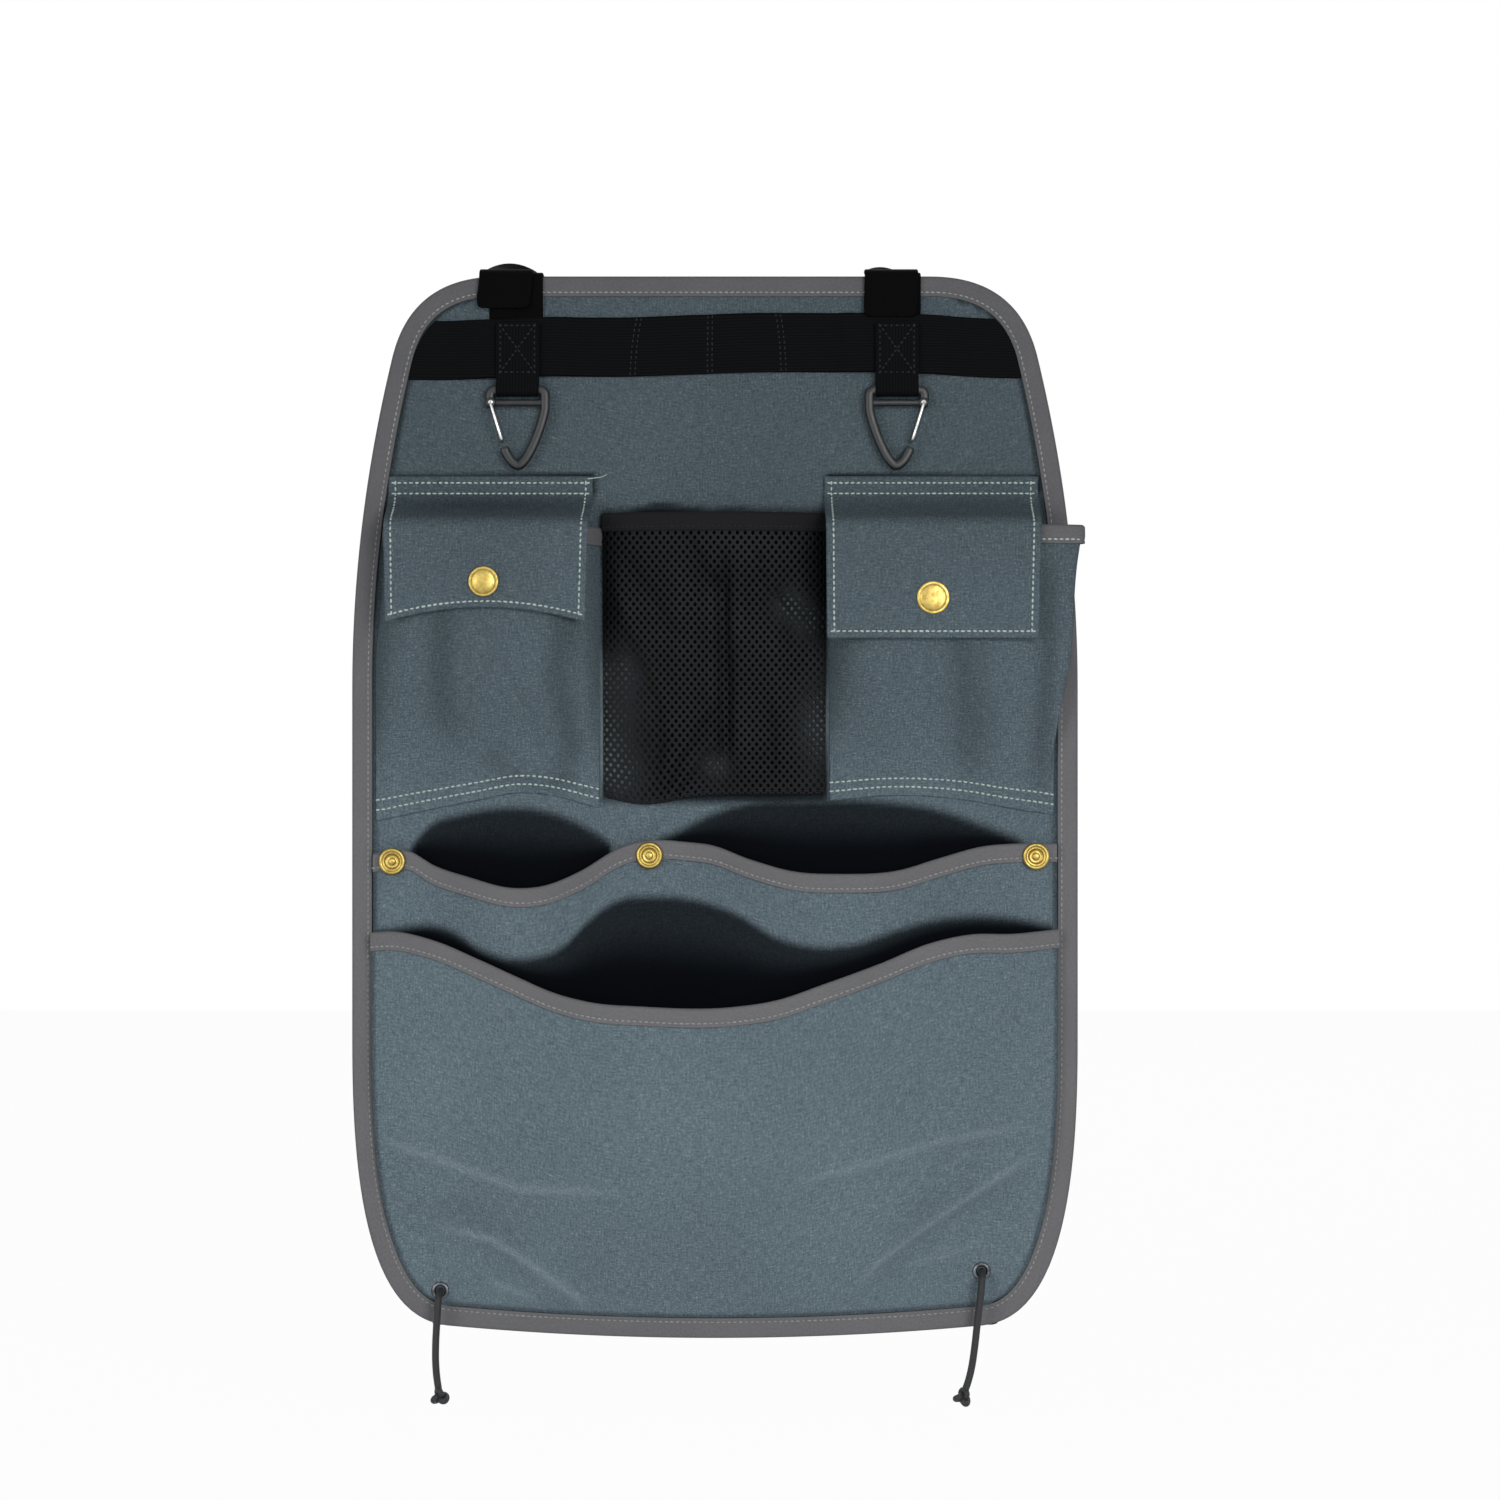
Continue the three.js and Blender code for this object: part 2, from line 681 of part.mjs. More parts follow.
function pouchSurface(name) {
  const inner = pouchInner[name];
  const outward = Math.sign(inner);
  return (u, v) => {
    const share = Math.sin((Math.PI / 2) * (2 * u - 1)) * 0.75 + (2 * u - 1) * 0.25;
    const level = lerp(-pouchRimDrop, -pouchBottomDrop, v);
    const room = clothThickness / 2 + clearance + tapeThickness;
    const widening = smooth(v, 0.1, 0.5);
    const outer = outward * (lerp(innerEdgeAt(-pouchRimDrop), innerEdgeAt(-pouchBottomDrop), widening) - room);
    const x = lerp(inner, outer, (share * outward + 1) / 2);
    const swell = pouchSwell(name, share, v);
    const outerShare = smooth(share * outward, 0.45, 0.95) * (1 - smooth(v, 0.17, 0.8));
    const lean = outward * pouchLean[name] * outerShare * Math.pow(swell / pouchDepth[name], 2);
    const arch = pouchArch[name] * (1 - share * share) * v * v;
    return vec(x + lean, -clothOnPanel - clearance / 3 - swell, level + arch);
  };
}

// A folded tape along the top edge of a pocket.
function rimTape(columns, at) {
  const rise = clearance + tapeThickness;
  const path = [];
  for (let i = 0; i <= columns; i++) path.push(at(i / columns, 0).add(vec(0, 0, rise)));
  const down = path.map(() => vec(0, 0, -1));
  return sweep(path, down, foldedTape(rimTapeWidth, clothThickness + clearance), false, true);
}

function makePouch(name) {
  const columns = 16;
  const surface = pouchSurface(name);
  add(`${name}_pocket`, sheet(columns, 6, clothThickness, surface), "canvas");
  add(`${name}_pocket_binding`, rimTape(columns, surface), "binding");
}

// Y of the middle of the flap where it hangs in front of the pouch.
function flapFront(name) {
  const stack = clothThickness / 2 + studHeight + socketHeight + 3 * clearance + flapThickness / 2;
  return -(clothOnPanel + clearance / 3 + pouchDepth[name] + stack);
}

function makeFlap(name) {
  const onPanel = -(panelThickness + clearance + flapThickness / 2);
  const front = flapFront(name);
  const outward = Math.sign(flapInner[name]);
  const sewnOuter = outward * innerEdgeAt(-flapDrop);
  const wideOuter = sewnOuter + outward * flapFlare[name];
  const clearTop = -pouchRimDrop + clearance + tapeThickness + clearance + flapThickness;
  const profile = [
    [onPanel, -flapDrop], [onPanel, -flapDrop - flapSeam / 2], [onPanel, -flapDrop - flapSeam],
    [lerp(onPanel, front, 0.2), lerp(-flapDrop - flapSeam, clearTop, 0.36)],
    [lerp(onPanel, front, 0.55), lerp(-flapDrop - flapSeam, clearTop, 0.7)],
    [lerp(onPanel, front, 0.86), clearTop + 1.2], [front + 0.7, clearTop - 2.4],
    [front, clearTop - 7], [front, clearTop - 14], [front, -flapDrop - flapLength[name]],
  ].map(([y, z]) => vec(0, y, z));
  const curve = new THREE.CatmullRomCurve3(profile, false, "centripetal");
  const at = (u, v) => {
    const place = curve.getPointAt(v);
    const hanging = smooth(v, 0.6, 1);
    const across = 2 * u - 1;
    place.x = lerp(flapInner[name], lerp(sewnOuter, wideOuter, smooth(v, 0.2, 0.5)), u);
    place.z += flapArch[name] * hanging * (1 - across * across);
    return place;
  };
  add(`${name}_pocket_flap`, sheet(4, 14, flapThickness, at), "canvas");
}

function makeFlapSnap(name) {
  const sewnOuter = Math.sign(flapInner[name]) * innerEdgeAt(-flapDrop);
  const x = (flapInner[name] + sewnOuter) / 2 + snapShift[name];
  const z = -flapDrop - snapDrop[name];
  const radius = capRadius[name];
  const height = capHeight[name];
  const flapY = flapFront(name);
  const capY = flapY - flapThickness / 2 - clearance;
  const dome = [
    [0, 0], [0.94 * radius, 0], [radius, 0.2 * height], [0.88 * radius, 0.6 * height],
    [0.5 * radius, 0.92 * height], [0, height],
  ];
  add(`${name}_flap_cap`, turned(dome, x, capY, z), "brass");
  const bore = nibRadius + clearance;
  const socketY = flapY + flapThickness / 2 + clearance + socketHeight;
  const socket = [
    [bore, 0], [0.8 * socketRadius, 0], [socketRadius, 0.4 * socketHeight],
    [socketRadius, socketHeight], [bore, socketHeight], [bore, 0],
  ];
  add(`${name}_flap_socket`, turned(socket, x, socketY, z), "brass");
  const studY = socketY + clearance + studHeight;
  const nibHeight = studHeight + clearance + 0.7 * socketHeight;
  const stud = [
    [0, 0], [studRadius, 0], [studRadius, 0.6 * studHeight], [nibRadius + 0.4, studHeight],
    [nibRadius, studHeight + clearance], [nibRadius, nibHeight - 0.4], [0, nibHeight],
  ];
  add(`${name}_pocket_stud`, turned(stud, x, studY, z), "brass");
}

// Mesh pocket between the pouches

function meshSurface(u, v) {
  const inset = 2 * clothThickness + clearance;
  const x = lerp(pouchInner.left + inset, pouchInner.right - inset, u);
  const across = 2 * u - 1;
  const rest = (1 - across * across) * (1 - v * v);
  const gathered = smooth(v, 0.08, 0.25) * (1 - v);
  const fold = meshFold * Math.sin(2 * Math.PI * meshFolds * u) * (1 - across * across) * gathered;
  const thick = panelThickness + clearance + meshThickness / 2;
  const backLeg = clearance + tapeThickness + clearance;
  const stand = backLeg * (1 - smooth(v, 0.1, 0.3)) + clearance / 3;
  const sag = 4 * Math.sin(Math.PI * u) * v;
  const level = lerp(-meshRimDrop, -meshBottomDrop, v) - sag;
  return vec(x, -thick - stand - meshDepth * rest - fold * smooth(rest, 0, 0.3), level);
}

function makeMeshPocket() {
  const pocket = net(meshColumns, meshRows, meshThickness, meshHole, meshSurface);
  add("mesh_pocket", pocket, "mesh");
  const columns = 2 * meshColumns;
  add("mesh_pocket_binding", rimTape(columns, meshSurface), "mesh");
}

// Middle pocket

// 0 at the snaps and 1 in the middle of each compartment.
function compartment(x) {
  const [from, middle, to] = [ringSnapPlaces.left[0], ringSnapPlaces.centre[0], ringSnapPlaces.right[0]];
  const [start, end] = x < middle ? [from, middle] : [middle, to];
  const flat = ringSnapRadius;
  if (x <= start + flat || x >= end - flat) return 0;
  return Math.pow(Math.sin((Math.PI * (x - start - flat)) / (end - start - 2 * flat)), 2);
}

function middleRim(x) {
  const sag = x < ringSnapPlaces.centre[0] ? middleSag.left : middleSag.right;
  const rise = smooth(Math.abs(x), middleEdge - 60, middleEdge);
  const high = Math.min(...Object.values(ringSnapPlaces).map(([, z]) => -z)) - rimTapeWidth / 2;
  return -lerp(high, middleEndDrop - rimTapeWidth, rise) - sag * compartment(x);
}

function middleSurface(u, v) {
  const x = lerp(-1, 1, u) * middleEdge;
  const held = smooth(middleEdge - Math.abs(x), 0, ringSnapRadius);
  const stand = lerp(middleStand / 2, middleStand, held);
  const swell = (stand + middleDepth * compartment(x)) * (1 - v * v);
  return vec(x, -clothOnPanel - swell, lerp(middleRim(x), -middleBottomDrop, v));
}

function makeMiddlePocket() {
  const columns = 28;
  add("middle_pocket", sheet(columns, 4, clothThickness, middleSurface), "canvas");
  add("middle_pocket_binding", rimTape(columns, middleSurface), "binding");
  for (const [name, [x, z]] of Object.entries(ringSnapPlaces)) {
    const cloth = clothOnPanel + middleStand;
    const halfStack = clothThickness / 2 + 1.5 * clearance + tapeThickness;
    const r = ringSnapRadius;
    const h = ringSnapHeight;
    const ring = [
      [0, 0], [r, 0], [r, 0.35 * h], [0.88 * r, 0.62 * h], [0.7 * r, 0.5 * h], [0.55 * r, 0.22 * h],
      [ringPostRadius, 0.22 * h], [0.9 * ringPostRadius, 0.9 * h], [0, h],
    ];
    add(`${name}_rim_snap`, turned(ring, x, -cloth - halfStack - clearance, z), "brass");
    const stud = [
      [0, 0], [0.8 * r, 0], [0.8 * r, 0.3 * rimStudHeight], [0.5 * r, 0.45 * rimStudHeight],
      [0.45 * r, rimStudHeight], [0, rimStudHeight],
    ];
    add(`${name}_rim_stud`, turned(stud, x, panelFront - clearance, z), "brass");
  }
}

// Lower pocket, grommets and cords

const pullDistance = ([px, pz], x, z) => Math.hypot(x - px, z - pz);

function lowerRim(x) {
  const share = Math.min(1, Math.abs(x) / innerEdgeAt(-lowerRimDrop));
  const flatEnd = smooth(share, 0.05, 0.92);
  return -lowerRimDrop - lowerSag * (1 - flatEnd);
}

function lowerSurface(u, v) {
  const inset = bindingWidth + seamGap;
  const side = 2 * u - 1;
  const level = lerp(-lowerRimDrop, bottomAt(bottomFlatHalf) + inset, v);
  const x = side * innerEdgeAt(level);
  const across = 1 - Math.pow(Math.abs(side), 2.5);
  const z = lerp(lowerRim(x), bottomAt(x) + inset, v);
  const near = Math.min(...Object.values(grommetPlaces).map((place) => pullDistance(place, x, z)));
  const free = smooth(near, 5 * grommetRadius, 12 * grommetRadius);
  const swell = (lowerStand + lowerDepth * across) * (1 - v * v) * free;
  return vec(x, -clothOnPanel - swell, z);
}

function makeLowerPocket() {
  const columns = 22;
  const holes = Object.values(grommetPlaces).map(([x, z]) =>
    drill(barrelRadius + clearance, x, z, 8 * panelThickness));
  const cloth = sheet(columns, 7, clothThickness, lowerSurface);
  add("lower_pocket", cut(cloth, holes), "canvas");
  add("lower_pocket_binding", rimTape(columns, lowerSurface), "binding");
}

function makeGrommet(name, x, z) {
  const clothFront = -(clothOnPanel + clothThickness / 2);
  const flangeY = clothFront - clearance;
  const depth = -flangeY + barrelProud;
  const profile = [
    [boreRadius, flangeHeight], [0.75 * grommetRadius, flangeHeight],
    [grommetRadius, 0.4 * flangeHeight], [grommetRadius, 0], [barrelRadius, 0],
    [barrelRadius, -depth], [boreRadius, -depth], [boreRadius, flangeHeight],
  ];
  add(`${name}_grommet`, turned(profile, x, flangeY, z), "nickel");
  const bore = barrelRadius + clearance;
  const washerHeight = barrelProud - 2 * clearance;
  const washer = [[bore, 0], [grommetRadius, 0], [grommetRadius, washerHeight], [bore, washerHeight], [bore, 0]];
  add(`${name}_grommet_washer`, turned(washer, x, washerHeight + clearance, z), "nickel");
}

// Each cord leaves its grommet straight, turns down and hangs below the panel to its knot.
// x and z count from the middle of the grommet.
const cordRoutes = {
  left: [
    [0, 1.8, 0], [0, -2, 0], [0, -6, 0], [-0.1, -9.5, -0.8],
    [-0.2, -12.4, -3], [-0.4, -14, -6.4], [-0.6, -14.4, -10.4], [-0.9, -14.3, -15],
    [-1.2, -14, -20], [-1.5, -13.6, -25], [-1.7, -13.1, -30], [-1.8, -12.6, -35],
    [-1.7, -12.1, -40], [-1.4, -11.6, -45], [-0.9, -11.2, -49.5], [-0.3, -11, -53.6],
  ],
  right: [
    [0, 1.8, 0], [0, -2, 0], [0, -6, 0], [-0.1, -9.5, -0.8],
    [-0.4, -12.4, -3], [-0.8, -14, -6.4], [-1.2, -14.4, -10.4], [-1.7, -14.4, -14.9],
    [-2.3, -14.2, -19.9], [-2.9, -13.9, -25.4], [-3.5, -13.6, -30.9], [-4.1, -13.2, -36.9],
    [-4.8, -12.7, -42.9], [-5.6, -12.2, -48.9], [-6.7, -11.7, -54.9], [-8.1, -11.2, -60.4],
    [-9.7, -11, -65.1],
  ],
};

function makeCord(name, x, z) {
  const route = cordRoutes[name].map(([right, y, up]) => vec(x + right, y, z + up));
  const curve = new THREE.CatmullRomCurve3(route, false, "centripetal");
  const section = new THREE.Shape(disc(cordRadius, wireSides).map(([a, b]) => new THREE.Vector2(a, b)));
  const steps = route.length - 1;
  const tube = new THREE.ExtrudeGeometry(section, { extrudePath: curve, steps, bevelEnabled: false });
  add(`${name}_cord`, tube, "elastic");
  const ball = (radius, height, neck) => [
    [0, 0], [neck, 0], [0.8 * radius, 0.16 * height], [radius, 0.45 * height],
    [0.82 * radius, 0.8 * height], [0.4 * radius, height], [0, height],
  ];
  const end = route[route.length - 1];
  const along = end.clone().sub(route[route.length - 2]).normalize();
  const knot = turned(ball(knotRadius, knotHeight, cordRadius), 0, 0, 0);
  knot.applyQuaternion(new THREE.Quaternion().setFromUnitVectors(vec(0, -1, 0), along));
  const start = end.clone().addScaledVector(along, clearance);
  knot.translate(start.x, start.y, start.z);
  add(`${name}_cord_knot`, knot, "elastic");
  const stopper = turned(ball(stopperRadius, stopperHeight, cordRadius), 0, 0, 0);
  stopper.rotateZ(Math.PI);
  stopper.translate(x, route[0].y + clearance, z);
  add(`${name}_stopper_knot`, stopper, "elastic");
}

makePanel();
makePanelBinding();
makeLadder();
for (const [name, x] of Object.entries(strapPlaces)) {
  makeStrap(`${name}_hanging_strap`, x);
}
makeCarabiners();
for (const name of ["left", "right"]) {
  makePouch(name);
  makeFlap(name);
  makeFlapSnap(name);
}
makeMeshPocket();
makeMiddlePocket();
makeLowerPocket();
for (const [name, [x, z]] of Object.entries(grommetPlaces)) {
  makeGrommet(name, x, z);
  makeCord(name, x, z);
}

export default group;
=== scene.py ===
"""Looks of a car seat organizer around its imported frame. Sizes are in millimetres, +Z up, front -Y."""

import logging
import math
from dataclasses import dataclass, field
from enum import Enum
from typing import Callable, Sequence

import bmesh
import bpy
import numpy as np
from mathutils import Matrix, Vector


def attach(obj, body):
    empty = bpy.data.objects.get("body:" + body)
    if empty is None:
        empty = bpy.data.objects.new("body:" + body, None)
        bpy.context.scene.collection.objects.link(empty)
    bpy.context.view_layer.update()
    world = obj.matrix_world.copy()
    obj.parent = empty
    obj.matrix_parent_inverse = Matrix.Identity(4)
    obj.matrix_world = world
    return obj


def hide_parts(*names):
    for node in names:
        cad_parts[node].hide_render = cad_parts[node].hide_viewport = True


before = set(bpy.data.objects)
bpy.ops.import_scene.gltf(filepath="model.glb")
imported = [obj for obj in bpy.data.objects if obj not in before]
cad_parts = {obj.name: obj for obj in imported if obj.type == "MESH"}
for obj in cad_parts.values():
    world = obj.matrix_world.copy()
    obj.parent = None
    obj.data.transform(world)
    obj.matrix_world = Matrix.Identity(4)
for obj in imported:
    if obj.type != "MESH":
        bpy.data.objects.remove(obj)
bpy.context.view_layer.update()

MM = 0.001
CLOTH_MAP = "Cloth"  # UV map in metres of cloth
PAINTED_SHADE = "hollow"  # point attribute: how much painted shade darkens a point, deepest in a pocket's mouth
WEAR_AND_PAINTED_LIGHT = "rub"  # point attribute: pale marks, real wear along the lower pocket's creases and painted light behind the net
FACING = "facing"  # point attribute of a seam: the way the cloth faces
BODY = "organizer"

log = logging.getLogger("organizer")

Surface = Callable[[np.ndarray, np.ndarray], np.ndarray]
Pair = tuple[float, float]
Colour = tuple[float, float, float, float]


class Side(Enum):
    """The two sides of the organizer, as its user sees them from behind the seat."""

    LEFT = "left"
    RIGHT = "right"

    @property
    def sign(self) -> int:
        """-1 on the left and 1 on the right."""
        return -1 if self is Side.LEFT else 1


# Numbers and curves


def smooth(value: np.ndarray, start: float, end: float) -> np.ndarray:
    """Eased step from 0 at start to 1 at end."""
    share = np.clip((np.asarray(value, float) - start) / (end - start), 0.0, 1.0)
    return share * share * (3.0 - 2.0 * share)


def lerp(start: float, end: float, share: np.ndarray) -> np.ndarray:
    """Straight mix of two values."""
    return start + (end - start) * share


def triples(x: np.ndarray, y: np.ndarray, z: np.ndarray) -> np.ndarray:
    """Points from their coordinates, whatever shape the arrays have."""
    return np.stack(np.broadcast_arrays(x, y, z), axis=-1).astype(float)


def unit(vectors: np.ndarray) -> np.ndarray:
    """Vectors of length 1."""
    return vectors / np.maximum(np.linalg.norm(vectors, axis=-1, keepdims=True), 1e-12)


def flow(knots: Sequence[Pair], at: np.ndarray) -> np.ndarray:
    """A smooth height curve.

    Args:
        knots: (place, height) pairs in rising order of place.
        at: The places where the height is wanted.

    Returns:
        The heights.
    """
    places, heights = np.array(knots, float).T
    slopes = np.gradient(heights, places)
    k = np.clip(np.searchsorted(places, at) - 1, 0, len(places) - 2)
    span = places[k + 1] - places[k]
    t = np.clip((at - places[k]) / span, 0.0, 1.0)
    start = (1 + 2 * t) * (1 - t) ** 2 * heights[k] + t * (1 - t) ** 2 * span * slopes[k]
    return start + t**2 * (3 - 2 * t) * heights[k + 1] + t**2 * (t - 1) * span * slopes[k + 1]


def rounded_path(points: Sequence[Sequence[float]], steps: int) -> np.ndarray:
    """Centripetal Catmull-Rom curve through points.

    Args:
        points: The points that the curve passes.
        steps: Spans between two of them.

    Returns:
        The points of the curve.
    """
    p = np.array(points, float)
    p = np.vstack([2 * p[0] - p[1], p, 2 * p[-1] - p[-2]])
    knots = np.sqrt(np.maximum(np.linalg.norm(np.diff(p, axis=0), axis=1), 1e-9))
    out = []
    for i in range(1, len(p) - 2):
        a, b, c = knots[i - 1], knots[i], knots[i + 1]
        start = (p[i] - p[i - 1]) / a - (p[i + 1] - p[i - 1]) / (a + b) + (p[i + 1] - p[i]) / b
        end = (p[i + 1] - p[i]) / b - (p[i + 2] - p[i]) / (b + c) + (p[i + 2] - p[i + 1]) / c
        t = (np.arange(steps) / steps)[:, None]
        curve = (1 + 2 * t) * (1 - t) ** 2 * p[i] + t * (1 - t) ** 2 * b * start
        out.append(curve + t**2 * (3 - 2 * t) * p[i + 1] + t**2 * (t - 1) * b * end)
    return np.vstack([*out, p[-2][None]])


def lengths_along(path: np.ndarray) -> np.ndarray:
    """Distance of each point from the first, along the path."""
    return np.concatenate([[0.0], np.cumsum(np.linalg.norm(np.diff(path, axis=0), axis=1))])


def even(path: np.ndarray, spacing: float, closed: bool = False) -> np.ndarray:
    """The path again with its points about a spacing apart."""
    line = np.vstack([path, path[:1]]) if closed else path
    run = lengths_along(line)
    count = max(2, round(run[-1] / spacing)) + 1
    at = np.linspace(0, run[-1], count)
    out = np.stack([np.interp(at, run, line[:, k]) for k in range(line.shape[1])], axis=1)
    return out[:-1] if closed else out


def folds(x: np.ndarray, z: np.ndarray, length: float, turn: float, seed: float) -> np.ndarray:
    """Soft uneven waves of cloth, from -1 to 1, about a length apart."""
    across = x * math.cos(turn) + z * math.sin(turn)
    down = z * math.cos(turn) - x * math.sin(turn)
    bend = 0.9 * np.sin(down / length * 2.1 + seed) + 0.5 * np.sin(across / length * 1.3 + 2 * seed)
    return 0.6 * np.sin(2 * math.pi * across / length + bend) + 0.4 * np.sin(
        2 * math.pi * (0.63 * across + 0.4 * down) / length + 1.7 * seed
    )


# Meshes


class Draft:
    """One closed piece in the making: points in millimetres, faces and their places on the cloth."""

    def __init__(self) -> None:
        """Starts empty."""
        self.points: list[np.ndarray] = []
        self.faces: list[tuple[int, ...]] = []
        self.corners: list[np.ndarray] = []
        self.marks: dict[str, list[np.ndarray]] = {PAINTED_SHADE: [], WEAR_AND_PAINTED_LIGHT: []}
        self.count = 0

    def add(self, points: np.ndarray, faces: np.ndarray, corners: np.ndarray | None = None,
            marks: dict[str, np.ndarray] | None = None) -> bool:
        """Adds one closed body, and turns its faces outwards.

        Args:
            points: (n, 3) places.
            faces: (m, k) point numbers.
            corners: (m, k, 2) places on the cloth, in metres.
            marks: Point values by attribute name.

        Returns:
            Whether the faces had to be turned.
        """
        if corners is None:
            corners = np.zeros((*faces.shape, 2))
        first, rest = points[faces[:, 0]], faces[:, 1:]
        volume = 0.0
        for k in range(rest.shape[1] - 1):
            volume += np.sum(first * np.cross(points[rest[:, k]], points[rest[:, k + 1]]))
        if volume < 0:
            faces, corners = faces[:, ::-1], corners[:, ::-1]
        self.faces.extend(tuple(face) for face in (faces + self.count).tolist())
        self.corners.append(corners.reshape(-1, 2))
        self.points.append(points)
        self.count += len(points)
        for name, values in self.marks.items():
            values.append((marks or {}).get(name, np.zeros(len(points))))
        return bool(volume < 0)

    def cap(self, ring: np.ndarray) -> None:
        """Closes a hole in the last body with one face over its ring of point numbers."""
        self.faces.append(tuple((ring + self.count - len(self.points[-1])).tolist()))
        self.corners.append(np.zeros((len(ring), 2)))

    def build(self, name: str, *materials: bpy.types.Material, sharp: float = 50.0) -> bpy.types.Object:
        """Makes the Blender object, at the origin and in metres.

        Args:
            name: The piece's name.
            materials: Its finishes.
            sharp: The angle in degrees past which an edge isn't shaded smooth.

        Returns:
            The linked object.
        """
        mesh = bpy.data.meshes.new(name)
        mesh.from_pydata((np.vstack(self.points) * MM).tolist(), [], self.faces)
        mesh.uv_layers.new(name=CLOTH_MAP).data.foreach_set("uv", np.vstack(self.corners).ravel())
        for mark, values in self.marks.items():
            if any(np.any(v) for v in values):
                mesh.attributes.new(mark, "FLOAT", "POINT").data.foreach_set("value", np.concatenate(values))
        for material in materials:
            mesh.materials.append(material)
        mesh.polygons.foreach_set("use_smooth", np.ones(len(mesh.polygons), bool))
        mesh.set_sharp_from_angle(angle=math.radians(sharp))
        mesh.update()
        return linked(name, mesh)


def linked(name: str, data: bpy.types.ID | None) -> bpy.types.Object:
    """A new object in the scene."""
    made = bpy.data.objects.new(name, data)
    bpy.context.scene.collection.objects.link(made)
    return made


def grid_normals(points: np.ndarray) -> np.ndarray:
    """Unit normals of a grid of points, on the side that faces the front."""
    across = np.gradient(points, axis=1)
    down = np.gradient(points, axis=0)
    normals = unit(np.cross(across, down))
    return normals if normals[..., 1].mean() < 0 else -normals


def grid_map(points: np.ndarray) -> np.ndarray:
    """Places on the cloth, in metres, of a grid of points."""
    across = np.linalg.norm(np.diff(points, axis=1), axis=2)
    down = np.linalg.norm(np.diff(points, axis=0), axis=2)
    u = np.concatenate([np.zeros((len(points), 1)), np.cumsum(across, axis=1)], axis=1)
    u -= u[:, u.shape[1] // 2][:, None]
    v = np.concatenate([np.zeros((1, points.shape[1])), np.cumsum(down, axis=0)], axis=0)
    return np.stack([u, -v], axis=-1) * MM


@dataclass
class Cloth:
    """A cut of cloth on a surface, with its two faces and a rounded edge all round."""

    surface: Surface
    thickness: float
    us: np.ndarray
    vs: np.ndarray
    marks: Callable[[np.ndarray], dict[str, np.ndarray]] | None = None

    @property
    def grid(self) -> np.ndarray:
        """The points of its middle layer."""
        u, v = np.meshgrid(self.us, self.vs)
        return self.surface(u, v)

    @property
    def flat(self) -> Pair:
        """Width and length of the cut in metres, measured along its threads."""
        grid = self.grid
        wide = np.linalg.norm(np.diff(grid, axis=1), axis=2).sum(axis=1).max()
        long = np.linalg.norm(np.diff(grid, axis=0), axis=2).sum(axis=0).max()
        return round(float(wide) * MM, 3), round(float(long) * MM, 3)

    def draft(self) -> Draft:
        """The closed cloth."""
        grid = self.grid
        rows, columns = grid.shape[:2]
        normals = grid_normals(grid)
        half = self.thickness / 2
        index = np.arange(rows * columns).reshape(rows, columns)
        ring = np.concatenate([index[0, :-1], index[:-1, -1], index[-1, :0:-1], index[:0:-1, 0]])
        inner = np.clip(np.stack([ring // columns, ring % columns], 1), 1, [rows - 2, columns - 2])
        flat = grid.reshape(-1, 3)
        out = unit(flat[ring] - grid[inner[:, 0], inner[:, 1]])
        edge = flat[ring] + 0.8 * half * out
        layers = [(grid + side * half * normals).reshape(-1, 3) for side in (1, -1)]
        layer = rows * columns
        quads = np.stack([index[:-1, :-1], index[:-1, 1:], index[1:, 1:], index[1:, :-1]], -1).reshape(-1, 4)
        follow = np.roll(ring, -1)
        rim = 2 * layer + np.arange(len(ring))
        rim_follow = np.roll(rim, -1)
        wall = np.stack([follow, ring, rim, rim_follow], 1)
        back_wall = np.stack([rim_follow, rim, ring + layer, follow + layer], 1)
        faces = np.vstack([quads, quads[:, ::-1] + layer, wall, back_wall])
        place = grid_map(grid).reshape(-1, 2)
        places = np.vstack([place, place, place[ring]])
        bare = np.zeros(layer + len(ring))
        found = self.marks(grid) if self.marks else {}
        marks = {name: np.concatenate([values.ravel(), bare]) for name, values in found.items()}
        made = Draft()
        made.add(np.vstack([*layers, edge]), faces, places[faces], marks)
        return made

    def seam(self, us: np.ndarray, vs: np.ndarray, lift: float = 0.0) -> tuple[np.ndarray, np.ndarray]:
        """A line on the front face, for stitches.

        Args:
            us: Places across, one for each point.
            vs: Places down, one for each point.
            lift: Distance in front of the face.

        Returns:
            The line's points and the way that the cloth faces there.
        """
        step = 0.004
        centre = self.surface(us, vs)
        across = self.surface(np.clip(us + step, 0, 1), vs) - self.surface(np.clip(us - step, 0, 1), vs)
        down = self.surface(us, np.clip(vs + step, 0, 1)) - self.surface(us, np.clip(vs - step, 0, 1))
        normals = unit(np.cross(across, down))
        normals *= np.where(normals[:, 1].mean() > 0, -1.0, 1.0)
        return centre + normals * (self.thickness / 2 + lift), normals


def band(width: float, thickness: float, sides: int = 4) -> np.ndarray:
    """Section of a flat webbing with rounded edges."""
    half, r = width / 2 - thickness / 2, thickness / 2
    turn = np.linspace(-math.pi / 2, math.pi / 2, sides + 1)
    right = np.stack([half + r * np.cos(turn), r * np.sin(turn)], 1)
    across = np.linspace(1, -1, 7)[1:-1, None] * [half, 0] + [0, r]
    return np.vstack([right, across, -right, -across])


def disc(radius: float, sides: int, flat: float = 1.0) -> np.ndarray:
    """A round or oval section."""
    turn = 2 * math.pi * np.arange(sides) / sides
    return np.stack([radius * np.cos(turn), flat * radius * np.sin(turn)], 1)


